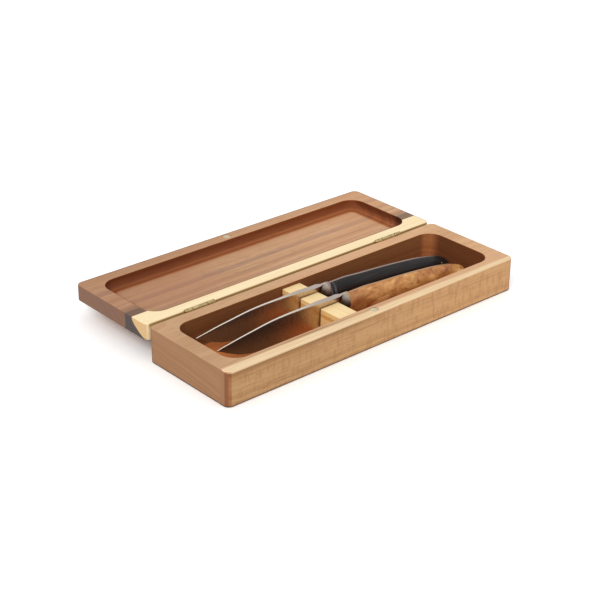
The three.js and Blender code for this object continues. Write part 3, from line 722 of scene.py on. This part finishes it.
case = {
    "sideWall": 10.0, "endWall": 12.2, "cornerRadius": 4.5, "pocketRadius": 12.0,
    "rimRound": 0.8, "baseRound": 0.6, "edgeSteps": 8,
    "roundMargin": 0.25, "floorRing": 1.2, "leastRadius": 1.0,
}
tray = {
    "floor": 3.5, "pocketRound": 0.5, "cove": 1.2,
    "routed": [(0.0, 1.0), (0.6, 0.95), (1.6, 0.55), (4.8, 0.5)],
}
lid = {
    "floor": 4.7, "pocketRound": 0.5, "cove": 5.3,
    "routed": [(0.0, 1.0), (1.9, 1.0), (3.2, 0.66), (5.3, 0.88), (6.8, 0.55), (9.0, 0.0)],
}
magnet = {
    "radius": 3.0, "thickness": 3.0, "fromFront": 5.0, "shift": -2.5, "edge": 0.25,
    "play": 0.05, "below": 0.3,
}
hinge = {
    "length": 25.0, "inset": 44.5, "shift": -1.0, "endKnuckle": 5.8, "knuckleGap": 0.6, "gap": 0.3,
    "radius": 1.5, "knuckleEdge": 0.1, "roomShare": 0.6, "pinRadius": 0.6, "pinDome": 0.4, "pinPlay": 0.02,
    "leaf": 1.0, "leafHeight": 8.0, "leafTop": -0.15, "leafCorner": 1.0, "leafEdge": 0.12, "fold": 0.3,
    "screwFromEnd": 5.0, "screwDrop": 4.8, "screwHead": 1.6, "screwShank": 0.9, "screwLength": 7.5,
    "screwPoint": 1.5, "screwSink": 0.1, "screwPlay": 0.1, "screwRoom": 0.3,
    "sinkShankPlay": 0.05, "sinkHeadPlay": 0.12, "slotWidth": 0.5, "slotDepth": 0.35,
}


def profileRings(length, width, radius, path):
    # Each point (inset, height) of the path is a rounded rectangle drawn in by the inset
    rings = []
    for inset, up in path:
        flat = roundRect(length - 2 * inset, width - 2 * inset, max(radius - inset, case["leastRadius"]))
        rings.append(np.column_stack([flat, np.full(len(flat), up)]))
    return rings


def routedBlock(name, box, half):
    # The profile runs up the outside, over the rim, down the pocket and a little way over its
    # floor, where the oil fades out
    lo, hi = box
    length, width, height = hi - lo
    turn = np.linspace(0, math.pi / 2, case["edgeSteps"] + 1)
    base, rim, near = case["baseRound"], case["rimRound"], case["roundMargin"]
    ease, cove, floor = half["pocketRound"], half["cove"], half["floor"]
    outside = np.concatenate([
        [[base + near, 0]],
        np.stack([base * (1 - np.sin(turn)), base * (1 - np.cos(turn))], -1),
        [[0, base + near], [0, height - rim - near]],
        np.stack([rim * (1 - np.cos(turn)), height - rim * (1 - np.sin(turn))], -1),
        [[rim + near, height]]])
    pocket = np.concatenate([
        [[-ease - near, height]],
        np.stack([-ease * (1 - np.sin(turn)), height - ease * (1 - np.cos(turn))], -1),
        np.stack([cove * (1 - np.cos(turn)), floor + cove * (1 - np.sin(turn))], -1),
        [[cove + near + ring * case["floorRing"], floor] for ring in range(4)]])
    rings = profileRings(length, width, case["cornerRadius"], outside)
    rings += profileRings(length - 2 * case["endWall"], width - 2 * case["sideWall"],
                          case["pocketRadius"], pocket)
    centre = np.array([*(lo + hi)[:2] / 2, lo[2]])
    return skin(name, np.array(rings) + centre, sharpAngle=24)


def hingeXs(box):
    reach = box[1][0] - hinge["inset"]
    return [("left", hinge["shift"] - reach), ("right", hinge["shift"] + reach)]


def seatTools(box, backY, outward, axisZ):
    # Tools that cut the hinge recesses, the screw holes and the magnet's bore
    lo, hi = box
    spare = 3.0
    recess = hinge["radius"] + hinge["gap"]
    depth = recess - hinge["leaf"] - hinge["fold"] / 2
    half = hinge["length"] / 2 + hinge["pinDome"] + hinge["gap"]
    tools = []
    for side, x in hingeXs(box):
        ys = sorted([backY - outward * depth, backY + outward * spare])
        low, high = axisZ - recess, hi[2] + spare
        outline = [(ys[0], low), (ys[1], low), (ys[1], high), (ys[0], high)]
        tools.append(prism("recess tool", outline, "x", x - half, x + half))
        for end in (-1, 1):
            screwX = x + end * (hinge["length"] / 2 - hinge["screwFromEnd"])
            radius = hinge["screwShank"] + hinge["screwPlay"]
            inWood = hinge["screwLength"] - hinge["leaf"] + hinge["screwRoom"]
            reach = sorted([-outward * inWood, outward * spare])
            tools.append(lathe("hole tool", [(radius, reach[0]), (radius, reach[1])], "y",
                               (screwX, backY, axisZ - hinge["screwDrop"]), 24))
    boreY = backY - outward * (hi[1] - lo[1] - magnet["fromFront"])
    radius, depth = magnet["radius"] + magnet["play"], magnet["thickness"] + magnet["below"]
    centre = (magnet["shift"], boreY, hi[2])
    tools.append(lathe("bore tool", [(radius, -depth), (radius, spare)], "z", centre, 64))
    return tools


def markRouted(piece, box, half):
    # routed is 0 outside and 1 on the pocket's wall. From there it follows the half's own
    # knots of (inset from the wall, value), over the cove and on to the flat floor. The inset
    # is the distance to the pocket's rounded rectangle.
    lo, hi = box
    count = len(piece.data.vertices)
    co = np.empty(count * 3)
    piece.data.vertices.foreach_get("co", co)
    co = co.reshape(-1, 3) / mm
    reach = (hi - lo)[:2] / 2 - (case["endWall"], case["sideWall"])
    out = np.abs(co[:, :2] - ((lo + hi) / 2)[:2]) - reach + case["pocketRadius"]
    inset = case["pocketRadius"] - np.linalg.norm(np.maximum(out, 0), axis=1) - np.minimum(out.max(1), 0)
    inPocket = (inset > -0.05) & (co[:, 2] > lo[2] + half["floor"] - 0.01)
    below = smoothStep(hi[2] - co[:, 2], half["pocketRound"] * 0.2, half["pocketRound"])
    value = inPocket * below * np.interp(inset, *zip(*half["routed"]))
    routed = piece.data.attributes.new("routed", "FLOAT", "POINT")
    routed.data.foreach_set("value", value.astype(np.float32))


axisZ = rimZ + hinge["gap"] / 2

trayPiece = routedBlock("tray_block", trayBox, tray)
carve(trayPiece, seatTools(trayBox, trayBox[1][1], 1, axisZ))
markRouted(trayPiece, trayBox, tray)
finishPiece(trayPiece, "tray", ["tray"], finishes["tray_wood"])

lidPiece = routedBlock("lid_block", lidBox, lid)
carve(lidPiece, seatTools(lidBox, lidBox[0][1], -1, axisZ))
markRouted(lidPiece, lidBox, lid)
finishPiece(lidPiece, "lid", ["lid"], finishes["lid_wood"])
print("tray and lid routed")


# Magnets

def buildMagnet(name, node, body):
    lo, hi = cadBox(node)
    centre = (lo + hi) / 2
    turn = np.linspace(0, math.pi / 2, 5)
    radius, edge, half = magnet["radius"], magnet["edge"], (hi[2] - lo[2]) / 2
    side = np.stack([radius - edge * (1 - np.sin(turn)), half - edge * (1 - np.cos(turn))], -1)
    face = np.array([(0.3, half), (radius - edge - 0.1, half)])
    profile = np.concatenate([face, side, side[::-1] * [1, -1], face[::-1] * [1, -1]])
    piece = lathe(name, profile, "z", centre, 64)
    finishPiece(piece, body, [node], finishes["magnet"])


buildMagnet("tray_catch_magnet", "tray_magnet", "tray")
buildMagnet("lid_catch_magnet", "lid_magnet", "lid")


# Hinges, round the pin's axis, with the tray on the -Y side

knuckleJoint = hinge["length"] / 2 - hinge["endKnuckle"]
middleSpans = [(hinge["knuckleGap"] - knuckleJoint, knuckleJoint - hinge["knuckleGap"])]
endSpans = [(-hinge["length"] / 2, -knuckleJoint), (knuckleJoint, hinge["length"] / 2)]


def knuckleTube(span, radius, edge, centre):
    low, high = span
    profile = [(radius - edge, low), (radius, low + edge), (radius, high - edge), (radius - edge, high)]
    return lathe("knuckle", profile, "x", centre)


def buildLeaf(name, node, body, x, sideY, ownSpans, otherSpans):
    # A flat plate with rolled knuckles: plate and tubes are joined, then the pin's bore, the
    # room for the other leaf's knuckles and the countersinks are cut
    half, height, corner = hinge["length"] / 2, hinge["leafHeight"], hinge["leafCorner"]
    turn = np.linspace(0, math.pi / 2, 7)
    leftX = -half + corner - corner * np.sin(turn[::-1])
    leftZ = -height + corner - corner * np.cos(turn[::-1])
    top = hinge["leafTop"]
    outline = [(-half, top), *zip(leftX, leftZ), *zip(-leftX[::-1], leftZ[::-1]), (half, top)]
    outline = np.array(outline) + [x, axisZ]
    faceY = hinge["fold"] / 2
    faces = sorted([axisY + sideY * faceY, axisY + sideY * (faceY + hinge["leaf"])])
    plate = prism(name, outline, "y", *faces)
    soften(plate, hinge["leafEdge"], 2)
    settle(plate)
    centre = (x, axisY, axisZ)
    knuckles = [knuckleTube(span, hinge["radius"], hinge["knuckleEdge"], centre) for span in ownSpans]
    carve(plate, knuckles, "UNION")
    room = hinge["gap"] * hinge["roomShare"]
    tools = [knuckleTube((low - room, high + room), hinge["radius"] + room, 0.0, centre)
             for low, high in otherSpans]
    bore = hinge["pinRadius"] + hinge["pinPlay"]
    tools.append(lathe("bore tool", [(bore, -half - 1), (bore, half + 1)], "x", centre))
    shank, head = hinge["screwShank"] + hinge["sinkShankPlay"], hinge["screwHead"] + hinge["sinkHeadPlay"]
    sink = np.array([(shank, faceY + 2), (shank, faceY + hinge["leaf"] - 0.25), (head, faceY + 0.02),
                     (head, faceY - 0.5)]) * [1, sideY]
    for end in (-1, 1):
        screwX = x + end * (half - hinge["screwFromEnd"])
        tools.append(lathe("sink tool", sink, "y", (screwX, axisY, axisZ - hinge["screwDrop"]), 32))
    carve(plate, tools)
    finishPiece(plate, body, [node], finishes["brass"])


def buildHingePin(name, node, x):
    half, radius, dome = hinge["length"] / 2, hinge["pinRadius"], hinge["pinDome"]
    turn = np.linspace(0, 0.46 * math.pi, 7)
    upper = np.stack([radius * np.cos(turn), half + dome * np.sin(turn)], -1)
    profile = np.concatenate([upper[::-1] * [1, -1], upper])
    piece = lathe(name, profile, "x", (x, axisY, axisZ), 32)
    finishPiece(piece, "tray", [node], finishes["brass"])


def buildScrew(name, node, body, x, sideY):
    # Countersunk head with a straight slot, plain shank and a point
    head, shank, length = hinge["screwHead"], hinge["screwShank"], hinge["screwLength"]
    face = hinge["fold"] / 2 + hinge["screwSink"]
    profile = [(0.25, face), (head - 0.15, face), (head, face + 0.08), (shank, face + 0.75),
               (shank, face + length - hinge["screwPoint"]), (0.1, face + length)]
    centre = (x, axisY, axisZ - hinge["screwDrop"])
    piece = lathe(name, np.array(profile) * [1, sideY], "y", centre, 40)
    lowY, highY = sorted([axisY + sideY * (face - 1), axisY + sideY * (face + hinge["slotDepth"])])
    half = hinge["slotWidth"] / 2
    outline = np.array([(-head - 1, -half), (head + 1, -half), (head + 1, half), (-head - 1, half)])
    slot = prism("slot tool", outline + [x, centre[2]], "y", lowY, highY)
    carve(piece, [slot])
    finishPiece(piece, body, [node], finishes["brass"])


for side, hingeX in hingeXs(trayBox):
    stem = f"{side}_hinge"
    buildLeaf(f"{stem}_tray_plate", f"{stem}_tray_leaf", "tray", hingeX, -1, middleSpans, endSpans)
    buildLeaf(f"{stem}_lid_plate", f"{stem}_lid_leaf", "lid", hingeX, 1, endSpans, middleSpans)
    buildHingePin(f"{stem}_axle", f"{stem}_pin", hingeX)
    for half, sideY in (("tray", -1), ("lid", 1)):
        for end, sign in (("outer", np.sign(hingeX)), ("inner", -np.sign(hingeX))):
            node = f"{stem}_{half}_screw_{end}"
            screwX = hingeX + sign * (hinge["length"] / 2 - hinge["screwFromEnd"])
            buildScrew(node + "_turned", node, half, screwX, sideY)
print("hinges, screws and magnets made")


# Knife rest

# Where the two slots and the knives in them run, as y
frontRow, rearRow = -6.9, 13.5
rest = {"slotWidth": 3.6, "slotFloor": 7.557, "mouth": 0.55, "edge": 0.5, "steps": 4}


def buildRest():
    # Outline across the tray: a flat block with two slots whose mouths are rounded over
    lo, hi = cadBox("knife_rest")
    points = [(lo[1], lo[2]), (hi[1], lo[2]), (hi[1], hi[2])]
    turn = np.linspace(0, math.pi / 2, rest["steps"] + 1)
    half, mouth = rest["slotWidth"] / 2, rest["mouth"]
    for y in (rearRow, frontRow):
        rightX = y + half + mouth - mouth * np.sin(turn)
        mouthZ = hi[2] - mouth + mouth * np.cos(turn)
        points += [*zip(rightX, mouthZ), (y + half, rest["slotFloor"]), (y - half, rest["slotFloor"])]
        points += [*zip(2 * y - rightX[::-1], mouthZ[::-1])]
    points.append((lo[1], hi[2]))
    piece = prism("rest_block", points, "x", lo[0], hi[0])
    soften(piece, rest["edge"], 3, 50)
    settle(piece, 40)
    finishPiece(piece, "tray", ["knife_rest"], finishes["pale_wood"])


buildRest()
print("knife rest made")


# Knives: x from the point to the butt, z up from the heel of the edge

knife = {
    "point": (-113.0, 7.857), "pivotX": -18.0, "rearTurn": -1.1,
    "bladeLength": 98.6, "bladeHeight": 19.8, "bladeThickness": 2.4, "edge": 0.12, "spineRound": 0.3,
    "grind": 2.2,
    "bladeKnots": [0, 0.04, 0.1, 0.17, 0.275, 0.45, 0.63, 0.81, 0.99],
    "spine": [0.64, 0.68, 0.73, 0.79, 0.86, 0.965, 1, 1, 0.97],
    "belly": [0.615, 0.515, 0.365, 0.21, 0.075, 0.01, 0, 0, 0],
    "thickness": [0.25, 0.31, 0.37, 0.42, 0.48, 0.58, 0.76, 1.1, 1.28],
    "flare": 0.9, "flareFrom": 0.66, "flareDrop": (0.05, 0.24),
    "groundTo": 0.99, "heelRun": 0.8, "neckLength": 4.8, "neckTop": 19.0, "heelRise": 2.2,
    "bolsterLength": 8.0, "bolsterTop": 18.6, "bolsterLow": 2.3,
    "swellAt": [0, 0.12, 0.3, 0.6, 1], "swell": [0.22, 0.32, 0.5, 0.79, 1],
    "joint": 0.12, "jointEdge": 0.25, "lean": 20.0, "leanReach": 24.0,
    "roundAt": [0, 0.12, 0.35, 0.65, 0.88, 1], "roundShares": [0.3, 0.6, 0.9, 1, 0.86, 0.5],
}
handle = {
    "length": 119.7, "width": 13.0, "shoulder": 1.7, "underside": 0.9,
    "tang": 1.6, "tangPlay": 0.02, "tangProud": 0.25, "tangEase": 0.2, "tangRise": 0.1,
    "knots": [0, 0.11, 0.27, 0.437, 0.604, 0.78, 0.889, 0.952, 0.986, 1],
    "top": [-0.005, 0, -0.08, -0.165, -0.275, -0.44, -0.61, -0.775, -0.96, -1.12],
    "low": [0.01, -0.06, -0.13, -0.18, -0.265, -0.35, -0.39, -0.39, -0.32, -0.195],
    "half": [0.86, 0.91, 0.97, 1, 0.985, 0.97, 0.95, 0.88, 0.65, 0.34],
    "beads": 2, "beadLength": 3.7, "beadDepth": 0.9, "beadPower": 1.3,
    "frontRound": 0.45, "frontFade": 0.35, "tailRound": 0.9,
    "dowelRadius": 1.6, "dowelReach": 3.0, "dowels": [("front_dowel", 0.13), ("middle_dowel", 0.5)],
    "pinRadius": 0.75, "pinShare": 0.912, "pinRise": 2.0, "pinProud": 0.04,
    "holePlay": 0.03, "holeRoom": 0.2, "rodEdge": (0.12, 0.1),
}
bolsterStart = knife["bladeLength"] + knife["neckLength"]
bolsterEnd = bolsterStart + knife["bolsterLength"]
handleStart = bolsterEnd + knife["joint"]
heelHalf = knife["bladeThickness"] / 2 * knife["thickness"][-1]


def handleOutline(x):
    # Top, bottom and half width at x, each a smooth line through its knots
    share = (x - handleStart) / handle["length"]
    height = knife["bolsterTop"] - knife["bolsterLow"]
    top = knife["bolsterTop"] + height * smoothThrough(handle["knots"], handle["top"], share)
    low = knife["bolsterLow"] + height * smoothThrough(handle["knots"], handle["low"], share)
    half = handle["width"] / 2 * smoothThrough(handle["knots"], handle["half"], share)
    return top, low, half


def leaned(x, z):
    # The joint leans back at the top: x moves by tan(lean) times the height above the middle,
    # growing along the bolster, held over the beads and fading out along the handle
    grown = smoothStep(x, bolsterStart, bolsterEnd)
    beadEnd = handleStart + handle["beads"] * handle["beadLength"]
    gone = smoothStep(x, beadEnd, handleStart + knife["leanReach"])
    middle = (knife["bolsterTop"] + knife["bolsterLow"]) / 2
    return x + math.tan(math.radians(knife["lean"])) * (z - middle) * grown * (1 - gone)


def ringsAcross(x, top, low, halfWidths, down):
    # Ring i at x[i]: down the +Y side and back up the -Y side, down is 0 at the top and 1 below
    z = top[:, None] + (low - top)[:, None] * down
    xs = leaned(x[:, None], z)
    right = np.stack([xs, halfWidths, z], -1)
    left = np.stack([xs, -halfWidths, z], -1)[:, ::-1]
    return np.concatenate([right, left], 1)


def crestAcross(down):
    # The flare of the spine on each side: whole at the top and gone at the end of flareDrop
    return knife["flare"] * (1 - smoothStep(down, *knife["flareDrop"]))


def wedgeAcross(half, down):
    # A ground section: the half width falls from the spine's to the edge's as 1 - down^grind
    return knife["edge"] + (half - knife["edge"]) * (1 - down ** knife["grind"])


def bladeRings(down):
    # The half thickness follows its knots, and the spine flares smoothly towards the heel
    share = np.concatenate([np.linspace(0, 0.12, 14)[:-1], np.linspace(0.12, knife["groundTo"], 46)])
    top = knife["bladeHeight"] * smoothThrough(knife["bladeKnots"], knife["spine"], share)
    low = knife["bladeHeight"] * smoothThrough(knife["bladeKnots"], knife["belly"], share)
    half = knife["bladeThickness"] / 2 * smoothThrough(knife["bladeKnots"], knife["thickness"], share)
    widths = wedgeAcross(half[:, None], down)
    widths += smoothStep(share, knife["flareFrom"], 1)[:, None] * crestAcross(down)
    widths[:, 0] -= np.minimum(knife["spineRound"], 0.5 * half)
    return ringsAcross(knife["bladeLength"] * share, top, low, widths, down)


def neckRings(down):
    # From the wedge of the heel to the flat section where the bolster starts
    heel = knife["bladeLength"]
    x = np.concatenate([np.linspace(heel, bolsterStart, 5), [bolsterStart + 0.3]])
    rise = smoothStep(x, heel * knife["groundTo"], bolsterStart)
    low = knife["heelRise"] * smoothStep(x, heel * knife["groundTo"], heel + knife["heelRun"])
    low += (knife["bolsterLow"] - knife["heelRise"]) * rise
    wedge = wedgeAcross(heelHalf, down)
    wedge[0] -= knife["spineRound"]
    keep = (1 - rise)[:, None]
    widths = wedge * keep + heelHalf * (1 - keep) + crestAcross(down)
    return ringsAcross(x, np.full(len(x), knife["neckTop"]), low, widths, down)


def bolsterRings(down):
    # The sides follow the round shares and swell along the bolster, and are never thinner than
    # the steel that runs through it. The last three rings ease the edge at the joint.
    t = np.linspace(0.06, 1, 16)
    edge = knife["jointEdge"]
    x = bolsterStart + t * knife["bolsterLength"]
    x[-1] = bolsterEnd - 2 * edge
    swell = smoothThrough(knife["swellAt"], knife["swell"], t)
    endTop, endLow, endHalf = (float(part[0]) for part in handleOutline(np.array([handleStart])))
    rounded = smoothThrough(knife["roundAt"], knife["roundShares"], down)
    least = heelHalf + (handle["tang"] / 2 - heelHalf) * smoothStep(t, 0, 0.5)
    crest = crestAcross(down) * (1 - smoothStep(t, 0.05, 0.6))[:, None]
    widths = np.maximum(swell[:, None] * endHalf * rounded, least[:, None] + crest)
    top = knife["neckTop"] + (endTop - knife["neckTop"]) * t
    low = knife["bolsterLow"] + (endLow - knife["bolsterLow"]) * t
    drawn = np.array([0, 0.3, 1]) * edge
    lastX = bolsterEnd - np.array([1, 0.3, 0]) * edge
    last = ringsAcross(lastX, endTop - drawn, endLow + drawn, widths[-1] - drawn[:, None], down)
    return np.concatenate([ringsAcross(x, top, low, widths, down), last])


def tangRings(down):
    # A flat bar inside the handle's outline, with eased long edges
    x = np.concatenate([[bolsterEnd], handleStart + handle["length"] * np.linspace(0.002, 1, 60)])
    top, low, half = handleOutline(np.maximum(x, handleStart))
    flat = np.full(len(down), handle["tang"] / 2)
    flat[[0, -1]] -= handle["tangEase"]
    return ringsAcross(x, top, low + handle["tangRise"], np.minimum(flat, half[:, None]), down)


def buildSteel(name):
    # Blade, neck, bolster and tang as one skin, with the rows closer together at both ends
    down = np.concatenate([[0, 0.014], np.linspace(0.035, 0.965, 28), [0.986, 1]])
    rings = [stretch(down) for stretch in (bladeRings, neckRings, bolsterRings, tangRings)]
    return skin(name, np.concatenate(rings), sharpAngle=38)


def scaleWidth(drop, inner, half):
    # Half section of a scale: inner + (half - inner) sin(angle)^power, which gives steep
    # shoulders above and a fuller round below
    angle = np.arccos(1 - 2 * drop)
    power = np.where(drop < 0.5, handle["shoulder"], handle["underside"])
    return inner + (half - inner) * np.sin(angle) ** power


def buildScale(name, sign, beaded):
    # Rings from the front to the butt. Beads draw the section in by
    # depth (1 - |sin|)^beadPower, and a plain front is rounded by exp(-along / frontFade).
    inner = handle["tang"] / 2 + handle["tangPlay"]
    beadZone = handle["beads"] * handle["beadLength"]
    front = np.linspace(0, beadZone, 12 * handle["beads"] + 1)
    middle = np.linspace(beadZone, handle["length"], 70)[1:-1]
    tail = handle["length"] - handle["tailRound"] * (1 - np.linspace(0, 1, 8)) ** 2
    along = np.concatenate([front, middle[middle < tail[0]], tail])
    x = handleStart + along
    top, low, half = handleOutline(x)
    top = top - handle["tangProud"]
    if beaded:
        wave = 1 - np.abs(np.sin(along / handle["beadLength"] * math.pi))
        cut = handle["beadDepth"] * np.where(along <= beadZone, wave, 0) ** handle["beadPower"]
    else:
        cut = handle["frontRound"] * np.exp(-along / handle["frontFade"])
    angle = np.linspace(0, math.pi, 33)
    drop = (1 - np.cos(angle)) / 2
    z = (top - 0.5 * cut)[:, None] + (low - top + cut)[:, None] * drop
    y = scaleWidth(drop[None, :], inner, np.maximum(half - cut, inner + 0.3)[:, None])
    return skin(name, np.stack([leaned(x[:, None], z), sign * y, z], -1), sharpAngle=42)


def fixingTools():
    # Holes for the dowels and the butt pin, with just enough room for them
    tools = []
    for part in fixings():
        radius, half, centre = part["radius"] + handle["holePlay"], part["hole"], (part["x"], 0, part["z"])
        tools.append(lathe("hole tool", [(radius, -half), (radius, half)], "y", centre, 40))
    return tools


def fixings():
    # Where the dowels and the butt pin are, and how far they reach on each side
    inner = handle["tang"] / 2 + handle["tangPlay"]
    found = []
    for label, share in handle["dowels"]:
        x = handleStart + share * handle["length"]
        top, low, half = (float(part[0]) for part in handleOutline(np.array([x])))
        reach = handle["tang"] / 2 + handle["dowelReach"]
        found.append({"label": label, "x": x, "z": (top + low) / 2, "radius": handle["dowelRadius"],
                      "half": reach, "hole": reach + handle["holeRoom"], "slot": "steel"})
    x = handleStart + handle["pinShare"] * handle["length"]
    top, low, half = (float(part[0]) for part in handleOutline(np.array([x])))
    top -= handle["tangProud"]
    z = (top + low) / 2 + handle["pinRise"]
    reach = float(scaleWidth(np.array([(top - z) / (top - low)]), inner, half)[0])
    found.append({"label": "butt_pin", "x": x, "z": z, "radius": handle["pinRadius"],
                  "half": reach + handle["pinProud"], "hole": handle["width"], "slot": "brass"})
    return found


def layKnife(piece, row, turn):
    # From the knife's own frame to its place: turned about the slot that holds its heel
    turnMatrix = Matrix.Rotation(math.radians(turn), 4, "Z")
    pivot = Vector((knife["pivotX"], row, knife["point"][1])) * mm
    shift = Matrix.Translation(Vector((knife["point"][0] - knife["pivotX"], 0, 0)) * mm)
    piece.data.transform(Matrix.Translation(pivot) @ turnMatrix @ shift)
    piece.data.update()


def buildKnife(body, row, turn, slot, steelFinish, beaded):
    steel = buildSteel(f"{body}_steel")
    carve(steel, fixingTools())
    layKnife(steel, row, turn)
    finishPiece(steel, body, [f"{body}_blade"], finishes[steelFinish])
    for side, sign in (("near", -1), ("far", 1)):
        piece = buildScale(f"{body}_{side}_grip", sign, beaded)
        carve(piece, fixingTools())
        shadeSoft(piece, 42)
        layKnife(piece, row, turn)
        finishPiece(piece, body, [f"{body}_{side}_scale"], finishes[slot])
    for part in fixings():
        half, radius, (draw, ease) = part["half"], part["radius"], handle["rodEdge"]
        profile = [(radius - draw, -half), (radius, ease - half),
                   (radius, half - ease), (radius - draw, half)]
        piece = lathe(f"{body}_{part['label']}_rod", profile, "y", (part["x"], 0, part["z"]), 40)
        layKnife(piece, row, turn)
        finishPiece(piece, body, [f"{body}_{part['label']}"], finishes[part["slot"]])


buildKnife("rear_knife", rearRow, knife["rearTurn"], "black_handle", "steel", True)
buildKnife("front_knife", frontRow, 0.0, "burl_handle", "steel_with_tang_highlight", False)
print("knives made")
